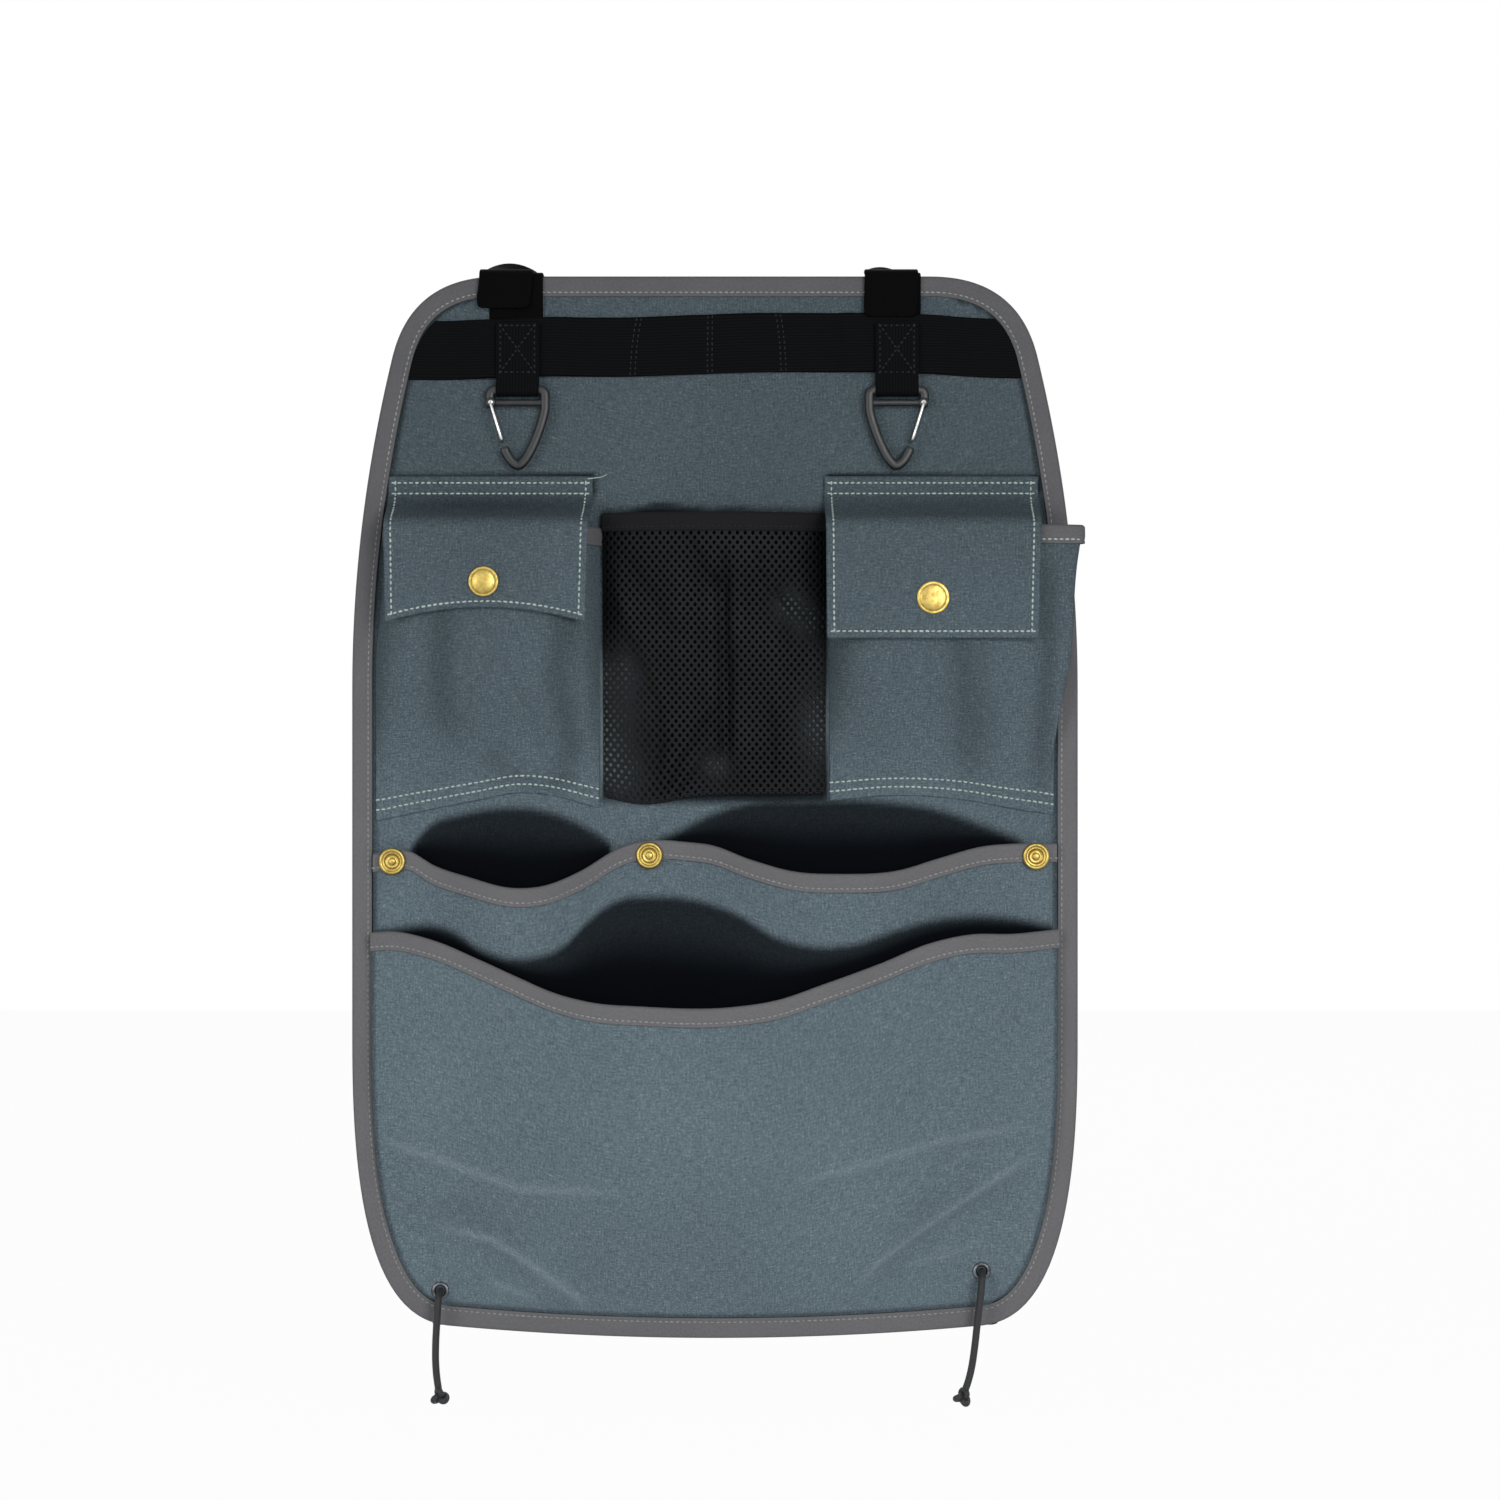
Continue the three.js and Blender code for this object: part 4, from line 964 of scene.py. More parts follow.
@dataclass
class Net:
    """A knitted mesh with a real hole in every diamond."""

    name: str
    surface: Surface
    columns: int = 58
    rows: int = 60
    hole: float = 0.6
    thickness: float = 0.75
    shade: Surface | None = None

    def base(self) -> bpy.types.Mesh:
        """The surface in diamonds, with plain triangles along its edges."""
        index: dict[tuple[int, int], int] = {}
        places, faces = [], []

        def point(i: int, j: int) -> int:
            """Number of the lattice point, made when it is first asked for."""
            if (i, j) not in index:
                index[i, j] = len(places)
                places.append((i / self.columns, j / self.rows))
            return index[i, j]

        for j in range(self.rows + 1):
            for i in range(self.columns + 1):
                if (i + j) % 2:
                    around = [(i, j - 1), (i + 1, j), (i, j + 1), (i - 1, j)]
                    kept = [(a, b) for a, b in around if 0 <= a <= self.columns and 0 <= b <= self.rows]
                    if len(kept) > 2:
                        faces.append([point(a, b) for a, b in kept])
        u, v = np.array(places).T
        mesh = bpy.data.meshes.new(self.name)
        points = self.surface(u, v)
        mesh.from_pydata((points * MM).tolist(), [], faces)
        # painted shade for the yarn, stored as a point attribute
        if self.shade is not None:
            shade = self.shade(points[:, 0], points[:, 2])
            mesh.attributes.new(PAINTED_SHADE, "FLOAT", "POINT").data.foreach_set("value", shade)
        return mesh

    def knit(self, material: bpy.types.Material) -> bpy.types.Object:
        """Makes the mesh fabric as one plain closed mesh."""
        row = NodeRow("net", {"Hole Share": self.hole, "Thickness": self.thickness * MM})
        top = row.node("GeometryNodeExtrudeMesh", {"mode": "FACES"}, {
            "Mesh": row.source.outputs[0], "Offset Scale": 0.0, "Individual": True})
        inset = top.node.outputs
        shrunk = row.node("GeometryNodeScaleElements", {"domain": "FACE"}, {
            "Geometry": inset["Mesh"], "Selection": inset["Top"], "Scale": row.size("Hole Share")})
        open_net = row.node("GeometryNodeDeleteGeometry", {"domain": "FACE"}, {
            "Geometry": shrunk, "Selection": inset["Top"]})
        raised = row.node("GeometryNodeExtrudeMesh", {"mode": "FACES"}, {
            "Mesh": open_net, "Offset Scale": row.size("Thickness"), "Individual": False})
        flipped = row.node("GeometryNodeFlipFaces", {}, {0: open_net})
        both = row.node("GeometryNodeJoinGeometry", {}, {0: raised})
        row.tree.links.new(flipped, both.node.inputs[0])
        closed = row.node("GeometryNodeMergeByDistance", {}, {"Geometry": both, "Distance": 1e-5})
        round_yarn = row.node("GeometryNodeSubdivisionSurface", {}, {"Mesh": closed, "Level": 1})
        row.end(row.node("GeometryNodeSetShadeSmooth", {}, {0: round_yarn}), material)
        return row.grow(self.name, facing_front(self.base()))


def facing_front(mesh: bpy.types.Mesh) -> bpy.types.Mesh:
    """The mesh with its faces turned to the front."""
    if sum(face.normal.y * face.area for face in mesh.polygons) > 0:
        mesh.flip_normals()
    return mesh


def settle(piece: bpy.types.Object, body: str, slot: str, *nodes: str) -> bpy.types.Object:
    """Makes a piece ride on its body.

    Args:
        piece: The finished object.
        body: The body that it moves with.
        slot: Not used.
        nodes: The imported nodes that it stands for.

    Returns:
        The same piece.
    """
    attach(piece, body)
    if nodes:
        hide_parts(*nodes)
    log.info("%s: %d faces on %s", piece.name, len(piece.data.polygons), body)
    return piece


def lay(cloth: Cloth, name: str, finish: bpy.types.Material, slot: str, node: str) -> None:
    """Makes a piece of cloth, and says what its sheet is.

    Args:
        cloth: The cut.
        name: The piece's name.
        finish: Its material.
        slot: The record's slot.
        node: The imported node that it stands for.
    """
    piece = settle(cloth.draft().build(name, finish), BODY, slot, node)
    cloth.flat
    log.info("%s is cut %s", name, cloth.flat)


def fitting(draft: Draft, name: str, finish: bpy.types.Material, slot: str, *nodes: str, body: str = BODY,
            sharp: float = 50.0) -> None:
    """Makes a turned or swept fitting.

    Args:
        draft: Its closed shape.
        name: The piece's name.
        finish: Its material.
        slot: The record's slot.
        nodes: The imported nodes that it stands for.
        body: The body that it moves with.
        sharp: The angle in degrees past which an edge isn't shaded smooth.
    """
    settle(tidy_mesh(draft.build(name, finish, sharp=sharp)), body, slot, *nodes)


# The organizer's common sizes


@dataclass(frozen=True)
class Layout:
    """Sizes that several sub-assemblies share, and the panel's outline."""

    clearance: float = 0.3
    seam_gap: float = 0.6
    cloth: float = 1.2
    tape: float = 1.0
    panel: float = 2.4
    half_width: float = 203.0
    height: float = 594.0
    top_half_width: float = 180.5
    top_corner_drop: float = 45.0
    top_corner_run: float = 60.0
    shoulder_drop: float = 230.0
    side_end_drop: float = 430.0
    bottom_corner_run: float = 53.0
    bottom_bow: float = 7.0
    binding_width: float = 11.5
    rim_width: float = 10.5
    stitch_inset: float = 2.3
    grommet_x: tuple[float, float] = (-153.4, 149.0)
    grommet_z: tuple[float, float] = (-567.0, -556.1)

    @property
    def cloth_front(self) -> float:
        """Distance of a pocket cloth's middle layer from the panel's back."""
        return self.panel + self.clearance + self.cloth / 2

    @property
    def bottom_flat(self) -> float:
        """Half width of the bottom edge between its corners."""
        return self.half_width - self.bottom_corner_run

    def half(self) -> np.ndarray:
        """The outline's right half from the middle of the top to the middle of the bottom."""
        t = np.linspace(0, 1, 25)[:, None]

        def quadratic(a: Pair, b: Pair, c: Pair) -> np.ndarray:
            """Points of a quadratic curve."""
            return (1 - t) ** 2 * a + 2 * t * (1 - t) * np.array(b) + t**2 * np.array(c)

        slope = (self.half_width - self.top_half_width) / (self.shoulder_drop / 2 - self.top_corner_drop / 2)
        low, rise = -self.height, self.height - self.bottom_bow - self.side_end_drop
        side = self.half_width
        start = (side, -self.side_end_drop)
        one = (side, -self.side_end_drop - 0.45 * rise)
        two = (lerp(self.bottom_flat, side, 0.87), low + self.bottom_bow + 0.03 * rise)
        end = (self.bottom_flat, low + self.bottom_bow)
        corner = ((1 - t) ** 3 * start + 3 * t * (1 - t) ** 2 * np.array(one)
                  + 3 * t**2 * (1 - t) * np.array(two) + t**3 * np.array(end))
        foot = (self.top_half_width, -self.top_corner_drop)
        parts = [
            np.array([[0.0, 0.0], [self.top_half_width - self.top_corner_run, 0.0]]),
            quadratic((self.top_half_width - self.top_corner_run, 0),
                      (self.top_half_width - slope * self.top_corner_drop, 0), foot)[1:],
            quadratic(foot, (side, -0.6 * self.shoulder_drop), (side, -self.shoulder_drop))[1:],
            corner,
            quadratic(end, (self.bottom_flat / 2, low), (0, low))[1:],
        ]
        return np.vstack(parts)

    def loop(self, inset: float = 0.0, spacing: float = 3.0) -> np.ndarray:
        """The whole outline, clockwise from the front, moved inwards."""
        half = self.half()
        left = half[1:-1][::-1] * [-1, 1]
        loop = even(np.vstack([half, left]), spacing, closed=True)
        along = unit(np.roll(loop, -1, 0) - np.roll(loop, 1, 0))
        return loop + inset * np.stack([along[:, 1], -along[:, 0]], 1)

    def edge_at(self, z: np.ndarray, inset: float) -> np.ndarray:
        """Half width at a height, inside an inset."""
        loop = self.loop(inset, 2.0)
        right = loop[loop[:, 0] > 0]
        top = np.argmax(right[:, 0] + right[:, 1] > self.top_half_width - self.top_corner_run)
        side = right[top:]
        side = side[side[:, 1] > -self.height + inset + self.bottom_bow + 1.0]
        order = np.argsort(-side[:, 1])
        return np.interp(-np.asarray(z, float), -side[order, 1], side[order, 0])

    @property
    def inner_inset(self) -> float:
        """From the outline to the cloth that is sewn inside the binding."""
        return self.binding_width + self.seam_gap

    def inner_edge(self, z: np.ndarray) -> np.ndarray:
        """Half width inside the binding."""
        return self.edge_at(z, self.inner_inset)

    def bottom(self, x: np.ndarray) -> np.ndarray:
        """The lowest point of the outline at a distance from the centre line."""
        share = np.minimum(1.0, np.abs(x) / self.bottom_flat)
        return -self.height + self.bottom_bow * share**2


LAYOUT = Layout()


def tape_rim(surface: Surface, columns: int, name: str, finish: bpy.types.Material, slot: str,
             node: str) -> tuple[np.ndarray, np.ndarray]:
    """Folds a tape over a pocket's top edge.

    Args:
        surface: The pocket's middle layer.
        columns: Points along the rim.
        name: The piece's name.
        finish: Its material.
        slot: The record's slot.
        node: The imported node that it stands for.

    Returns:
        The line of its stitches and the way that the cloth faces there.
    """
    path = surface(np.linspace(0, 1, columns), np.zeros(columns)) + [0, 0, LAYOUT.clearance + LAYOUT.tape]
    section = folded_tape(LAYOUT.rim_width, LAYOUT.cloth + LAYOUT.clearance)
    draft = sweep(path, np.array([0, 0, -1.0]), section, upright=True)
    settle(draft.build(name, finish), BODY, slot, node)
    half = LAYOUT.cloth / 2 + 1.5 * LAYOUT.clearance + LAYOUT.tape
    line = path + [0, -half + 0.2, LAYOUT.stitch_inset - LAYOUT.rim_width]
    return line, np.broadcast_to([0.0, -1.0, 0.0], line.shape)


# The stage


@dataclass(frozen=True)
class Studio:
    """Camera, soft lamps, a pale floor and a white surround."""

    middle: Sequence[float] = (19.6, 0.0, -265.0)
    distance: float = 1700.0
    picture_width: float = 840.0
    floor_drop: float = 668.0
    floor_size: float = 6.0

    def camera(self) -> None:
        """The camera, level with the object's middle."""
        data = bpy.data.cameras.new("camera")
        data.sensor_width = 36.0
        data.lens = data.sensor_width * self.distance / self.picture_width
        made = linked("camera", data)
        back = Vector((0.0, -1.0, 0.0))
        made.location = Vector(self.middle) * MM + back * self.distance * MM
        made.rotation_euler = (-back).to_track_quat("-Z", "Y").to_euler()
        bpy.context.scene.camera = made

    def lamp(self, name: str, place: Sequence[float], size: float, power: float) -> None:
        """A square soft lamp that points at the object's middle."""
        data = bpy.data.lights.new(name, "AREA")
        data.shape = "SQUARE"
        data.size, data.energy = size, power
        made = linked(name, data)
        made.location = place
        aim = Vector(self.middle) * MM - Vector(place)
        made.rotation_euler = aim.to_track_quat("-Z", "Y").to_euler()

    def seen_white(self, sheet: NodeSheet, share: float) -> Signal:
        """A value that is the share for camera, glossy and transmission rays, and 0 for the rest."""
        total = sheet.node("ShaderNodeLightPath", {}, {}, "Is Camera Ray")
        rays = total.socket.node.outputs
        for name in ("Is Glossy Ray", "Is Transmission Ray"):
            values = {0: total, 1: Signal(sheet, rays[name])}
            total = sheet.node("ShaderNodeMath", {"operation": "ADD", "use_clamp": True}, values)
        return total * share

    def world(self, strength: float) -> None:
        """Even pale light, with white where the camera looks past the object."""
        bpy.context.scene.world = bpy.data.worlds.new("surround")
        sheet = NodeSheet(bpy.context.scene.world, "World")
        soft = sheet.node("ShaderNodeBackground", {}, {"Color": (0.96, 0.98, 1.0, 1.0), "Strength": strength})
        white = sheet.node("ShaderNodeBackground", {}, {"Color": (1.0, 1.0, 1.0, 1.0), "Strength": 1.0})
        sheet.end(sheet.node("ShaderNodeMixShader", {}, {0: self.seen_white(sheet, 1.0), 1: soft, 2: white}))

    def floor(self) -> None:
        """A pale floor that keeps the object's shadow."""
        half = self.floor_size / 2
        mesh = bpy.data.meshes.new("floor")
        corners = [(-half, -half), (half, -half), (half, half), (-half, half)]
        mesh.from_pydata([(x, y, -self.floor_drop * MM) for x, y in corners], [], [(0, 1, 2, 3)])
        made = linked("floor", mesh)
        sheet = NodeSheet(bpy.data.materials.new("pale floor"))
        plain = sheet.node("ShaderNodeBsdfDiffuse", {}, {"Color": (0.92, 0.92, 0.92, 1.0)})
        glow = sheet.node("ShaderNodeEmission", {}, {"Color": (1.0, 1.0, 1.0, 1.0), "Strength": 1.0})
        mix = sheet.node("ShaderNodeMixShader", {}, {0: self.seen_white(sheet, 0.96), 1: plain, 2: glow})
        mesh.materials.append(sheet.end(mix))

    def build(self) -> None:
        """Sets the whole stage."""
        bpy.context.scene.view_settings.view_transform = "Standard"
        self.camera()
        self.lamp("key lamp", (0.75, -2.0, 0.1), 0.9, 26.0)
        self.lamp("fill lamp", (-1.3, -1.8, 0.0), 1.1, 16.0)
        self.lamp("back lamp", (0.6, 2.2, 1.6), 1.6, 18.0)
        self.world(0.24)
        self.floor()


# Cords first: each leaves its grommet and hangs to a knot


@dataclass(frozen=True)
class Cord:
    """An elastic cord from its grommet to the knot on its end."""

    side: Side
    route: tuple[tuple[float, float, float], ...]
    radius: float = 2.0
    knot_radius: float = 3.3

    def knot(self, centre: np.ndarray, along: np.ndarray, scale: float) -> np.ndarray:
        """Path of an overhand knot round a centre."""
        t = np.linspace(0, 2 * math.pi, 61)[:-1]
        r = self.knot_radius * scale
        trefoil = np.stack([
            r * (np.sin(t) + 1.4 * np.sin(2 * t)) / 2.0,
            r * (np.cos(t) - 1.4 * np.cos(2 * t)) / 2.0,
            -r * 0.75 * np.sin(3 * t),
        ], 1)
        up = unit(along)
        one = unit(np.cross(up, [0.0, 1.0, 0.2]))
        two = np.cross(up, one)
        return centre + trefoil @ np.stack([one, up, two])

    def build(self, finishes: Finishes) -> None:
        """The cord, its knot and the stopper knot behind the panel."""
        name = self.side.value
        path = rounded_path(self.route, 6)
        side = np.array([1.0, 0.0, 0.0])
        cord = sweep(path, side, disc(self.radius, 16)).build(f"{name}_elastic_cord", finishes.braid)
        settle(cord, BODY, "elastic", f"{name}_cord")
        start, along = np.array(self.route[0]), path[-1] - path[-2]
        for part, node, centre, up, across, scale, thin in (
            ("end_knot", "cord_knot", path[-1] + unit(along) * 4.2, along, (0.0, 1.0, 0.1), 1.0, 0.86),
            ("stopper", "stopper_knot", start + [0, 4.3, 0], (0.0, 1.0, 0.0), (0.1, 0.0, 1.0), 0.86, 0.8),
        ):
            loop = self.knot(centre, np.array(up), scale)
            draft = sweep(loop, np.array(across), disc(thin * self.radius, 12), closed=True)
            knot = draft.build(f"{name}_{part}", finishes.braid)
            settle(knot, BODY, "elastic", f"{name}_{node}")


CORDS = (
    Cord(Side.LEFT, (
        (-153.4, 1.8, -567), (-153.4, -2, -567), (-153.4, -6, -567), (-153.5, -9.5, -567.8),
        (-153.6, -12.4, -570), (-153.8, -14, -573.4), (-154, -14.4, -577.4), (-154.3, -14.3, -582),
        (-154.6, -14, -587), (-154.9, -13.6, -592), (-155.1, -13.1, -597), (-155.2, -12.6, -602),
        (-155.1, -12.1, -607), (-154.8, -11.6, -612), (-154.3, -11.2, -616.5), (-153.7, -11, -620.6),
    )),
    Cord(Side.RIGHT, (
        (149, 1.8, -556.1), (149, -2, -556.1), (149, -6, -556.1), (148.9, -9.5, -556.9),
        (148.6, -12.4, -559.1), (148.2, -14, -562.5), (147.8, -14.4, -566.5), (147.3, -14.4, -571),
        (146.7, -14.2, -576), (146.1, -13.9, -581.5), (145.5, -13.6, -587), (144.9, -13.2, -593),
        (144.2, -12.7, -599), (143.4, -12.2, -605), (142.3, -11.7, -611), (140.9, -11.2, -616.5),
        (139.3, -11, -621.2),
    )),
)


# Mouths: the deep shade inside an open pocket


@dataclass(frozen=True)
class Mouth:
    """The shaded cloth behind a pocket's rim, between its upper limit and the rim."""

    limit: tuple[Pair, ...]
    rim: tuple[Pair, ...]
    depth: float = 0.9
    blur: float = 3.5

    def shade(self, x: np.ndarray, z: np.ndarray) -> np.ndarray:
        """How deep a point of the cloth lies in the mouth, from 0 to 1."""
        top, low = flow(self.limit, x), flow(self.rim, x)
        inside = smooth(x, self.limit[0][0] - 1, self.limit[0][0] + 4) * (
            1 - smooth(x, self.limit[-1][0] - 4, self.limit[-1][0] + 1))
        entered = smooth(top - z, -self.blur, self.blur)
        deeper = smooth((top - z) / np.maximum(top - low, 6.0), 0.2, 0.75)
        return inside * entered * (self.depth + (1 - self.depth) * deeper)


MIDDLE_RIM: tuple[Pair, ...] = (
    (-193.2, -323.1), (-182, -321.6), (-171.9, -320.9), (-155.7, -329.3), (-135.5, -335.4), (-109.8, -341.0),
    (-94.6, -339.9), (-74.5, -332.1), (-53.8, -319.8), (-45, -316.6), (-36.4, -315.3), (-13.4, -316.4),
    (-3.4, -317.5), (20.7, -325.9), (44.8, -332.1), (68.9, -333.2), (100.8, -331.5), (124.9, -324.8),
    (149.0, -318.6), (171.4, -317.0), (192.6, -317.0),
)
LOWER_RIM: tuple[Pair, ...] = (
    (-193.2, -366.8), (-180.3, -365.7), (-155.7, -370.2), (-128.8, -380.8), (-108.1, -389.8),
    (-87.9, -398.2), (-67.8, -403.2), (-40.3, -405.4), (12.3, -405.4), (33.6, -402.1), (60.5, -393.1),
    (93.0, -381.4), (117.0, -371.8), (141.1, -366.8), (165.2, -366.8), (192.6, -364.6),
)
MIDDLE_MOUTHS = (
    Mouth(((-171.9, -320.9), (-159.6, -307.5), (-140, -300.5), (-120.4, -297.4), (-100, -298),
           (-86.8, -301.3), (-70, -309), (-56.0, -318.1)), MIDDLE_RIM),
    Mouth(((-34.7, -316.4), (-19.6, -309.7), (-2.8, -301.3), (17.4, -294.6), (51.0, -292.9), (89.6, -293.4),
           (123.2, -297.9), (148.4, -306.3), (173.6, -316.0)), MIDDLE_RIM),
)
NET_MOUTH = Mouth((
    (-65.0, -134.0), (-54.6, -131.6), (-43.0, -128.6), (-31.4, -126.4), (-17.9, -127.6), (-4.4, -129.6),
    (11.0, -129.2), (26.4, -130.2), (38.0, -132.2), (64.5, -134.0)),
    ((-65.0, -134.0), (64.5, -134.0)), depth=0.66, blur=1.0)
LOWER_MOUTH = Mouth((
    (-193.2, -365.7), (-143.4, -366.2), (-129.9, -374.6), (-104.2, -379.7), (-83.4, -373.0), (-70.6, -360.1),
    (-53.2, -348.3), (-36.4, -346.6), (-11.2, -348.3), (14.0, -356.7), (34.2, -368.5), (47.6, -372.4),
    (61.0, -373.5), (77.8, -371.8), (98.0, -365.1), (123.2, -359.0), (145.0, -357.3), (165.2, -358.4),
    (190.4, -363.3)), LOWER_RIM)


def net_light(x: np.ndarray, z: np.ndarray) -> np.ndarray:
    """Where light falls through the net on the panel, from 0 to 1."""
    light = 0.0
    for across, down, wide, high in (
        (-55, -222, 13, 13), (-56, -250, 13, 18), (-52, -276, 14, 14), (42, -184, 9, 9), (54, -194, 9, 11),
        (55, -250, 9, 22), (0, -274, 9, 8),
    ):
        light = light + np.exp(-(((x - across) / wide) ** 2 + ((z - down) / high) ** 2))
    return np.clip(light, 0, 1)


def tucked(distance: np.ndarray, depth: float = 0.62, reach: float = 3.2) -> np.ndarray:
    """Shade of cloth where it runs under a tape or a fold, by its distance from it in millimetres."""
    return depth * (1 - smooth(distance, 0.6, reach))


@dataclass(frozen=True)
class Crease:
    """A folded line in the cloth, from a soft start to a soft end."""

    line: tuple[Pair, ...]
    rise: float = 1.2
    width: float = 5.0
    # strength of the line: real wear on the lower pocket's creases, painted shade along the pouches' and the
    # net's folds
    rub: float = 0.5
    spread: float = 2.4

    def near(self, x: np.ndarray, z: np.ndarray) -> tuple[np.ndarray, np.ndarray]:
        """Signed distance from the line, and how full the crease is there."""
        points = np.array(self.line)
        best = np.full(x.shape, 1e9)
        sign = np.zeros(x.shape)
        place = np.zeros(x.shape)
        for k in range(len(points) - 1):
            a, d = points[k], points[k + 1] - points[k]
            t = np.clip(((x - a[0]) * d[0] + (z - a[1]) * d[1]) / (d @ d), 0, 1)
            dx, dz = x - a[0] - t * d[0], z - a[1] - t * d[1]
            distance = np.hypot(dx, dz)
            closer = distance < best
            best = np.where(closer, distance, best)
            sign = np.where(closer, np.sign(d[0] * dz - d[1] * dx), sign)
            place = np.where(closer, (k + t) / (len(points) - 1), place)
        full = smooth(place, 0.0, 0.2) * (1 - smooth(place, 0.75, 1.0))
        return best * sign, full

    def height(self, x: np.ndarray, z: np.ndarray) -> np.ndarray:
        """How far the cloth stands out: a sharp ridge with a long slope on one side."""
        distance, full = self.near(x, z)
        steep = np.where(distance > 0, self.width * 0.45, self.width * 1.8)
        return self.rise * full * np.exp(-np.abs(distance) / steep)

    def wear_and_painted_tone(self, x: np.ndarray, z: np.ndarray) -> np.ndarray:
        """How strong the line along the crease is: real wear on the lower pocket, painted shade on the
        pouches and the net.
        """
        distance, full = self.near(x, z)
        return self.rub * full * np.exp(-((distance / self.spread) ** 2))


# Sub-assemblies


@dataclass
class Panel:
    """The back panel with its binding and stitches."""

    net_box: tuple[float, float, float, float] = (-65.0, 64.5, -296.0, -134.0)
    flaps: tuple[Pair, ...] = ((-183.0, -68.0), (63.0, 181.0))
    wave: float = 0.32

    def surface(self, u: np.ndarray, v: np.ndarray) -> np.ndarray:
        """Middle layer of the panel."""
        inset = LAYOUT.tape + LAYOUT.clearance
        side = 2 * u - 1
        level = lerp(-inset, -LAYOUT.height + LAYOUT.bottom_bow + inset, v)
        x = side * LAYOUT.edge_at(level, inset)
        z = lerp(-inset, LAYOUT.bottom(x) + inset, v)
        free = smooth(1 - np.abs(side), 0.03, 0.14) * smooth(v, 0.03, 0.08) * (1 - smooth(v, 0.9, 0.97))
        bend = self.wave * (folds(x, z, 95, 0.7, 1.3) + 0.6 * folds(x, z, 150, -0.4, 4.0))
        return triples(x, -LAYOUT.panel / 2 - bend * free, z)

    def marks(self, grid: np.ndarray) -> dict[str, np.ndarray]:
        """Painted shade in the mouths, beside the binding, above the flaps and behind the net, and painted
        light where light falls through the net.
        """
        x, z = grid[..., 0], grid[..., 2]
        shade = np.maximum(MIDDLE_MOUTHS[0].shade(x, z), MIDDLE_MOUTHS[1].shade(x, z))
        left, right, low, high = self.net_box
        behind = smooth(x, left, left + 3) * (1 - smooth(x, right - 3, right))
        behind = behind * (1 - smooth(z, high - 2, high + 8)) * smooth(z, low - 2, low + 5)
        light = net_light(x, z)
        shade = np.maximum(shade, behind * (0.97 - 0.97 * light))
        shade = np.maximum(shade, NET_MOUTH.shade(x, z) * smooth(z, -146.0, -141.0))
        shade = np.maximum(shade, tucked(LAYOUT.inner_edge(z) - np.abs(x)))
        # painted shadow line just above each flap's top edge
        for start, end in self.flaps:
            above = (1 - smooth(z, -111.4, -109.6)) * smooth(z, -125, -120)
            beside = smooth(x, start - 2.0, start - 0.5) * (1 - smooth(x, end + 0.5, end + 2.0))
            shade = np.maximum(shade, 0.86 * above * beside)
        return {PAINTED_SHADE: shade, WEAR_AND_PAINTED_LIGHT: light * behind}

    def cloth(self) -> Cloth:
        """The panel's cut of cloth."""
        ends = np.linspace(0, 1, 13) ** 1.7 * 0.07
        last = 0.88 + 0.12 * (1 - (1 - np.linspace(0, 1, 30)[1:]) ** 1.6)
        rows = np.concatenate([ends, np.linspace(0.07, 0.88, 210)[1:], last])
        return Cloth(self.surface, LAYOUT.panel, np.linspace(0, 1, 160), rows, self.marks)

    def build(self, finishes: Finishes) -> None:
        """Panel, binding and stitches."""
        lay(self.cloth(), "panel_cloth", finishes.canvas, "canvas", "back_panel")
        loop = LAYOUT.loop(0.0, 2.5)
        inner = LAYOUT.loop(1.0, 2.5)
        count = len(loop)
        path = triples(loop[:, 0], np.full(count, -LAYOUT.panel / 2), loop[:, 1])
        sides = triples(inner[:, 0] - loop[:, 0], np.zeros(count), inner[:, 1] - loop[:, 1])
        section = folded_tape(LAYOUT.binding_width, LAYOUT.panel)
        tape = sweep(path, sides, section, closed=True).build("edge_tape", finishes.tape)
        settle(tape, BODY, "binding", "panel_binding")
        seams = Seams("edge_stitches", pitch=3.2, length=2.5, width=0.85, height=0.6)
        reach = LAYOUT.binding_width - LAYOUT.stitch_inset
        for front in (1, -1):
            line = path + unit(sides) * reach
            depth = front * (LAYOUT.panel / 2 + LAYOUT.clearance + LAYOUT.tape - 0.2)
            line = np.vstack([line, line[:1]]) - [0, depth, 0]
            seams.add((line, np.broadcast_to([0.0, -float(front), 0.0], line.shape)))
        seams.sew(finishes.grey_thread, "binding")


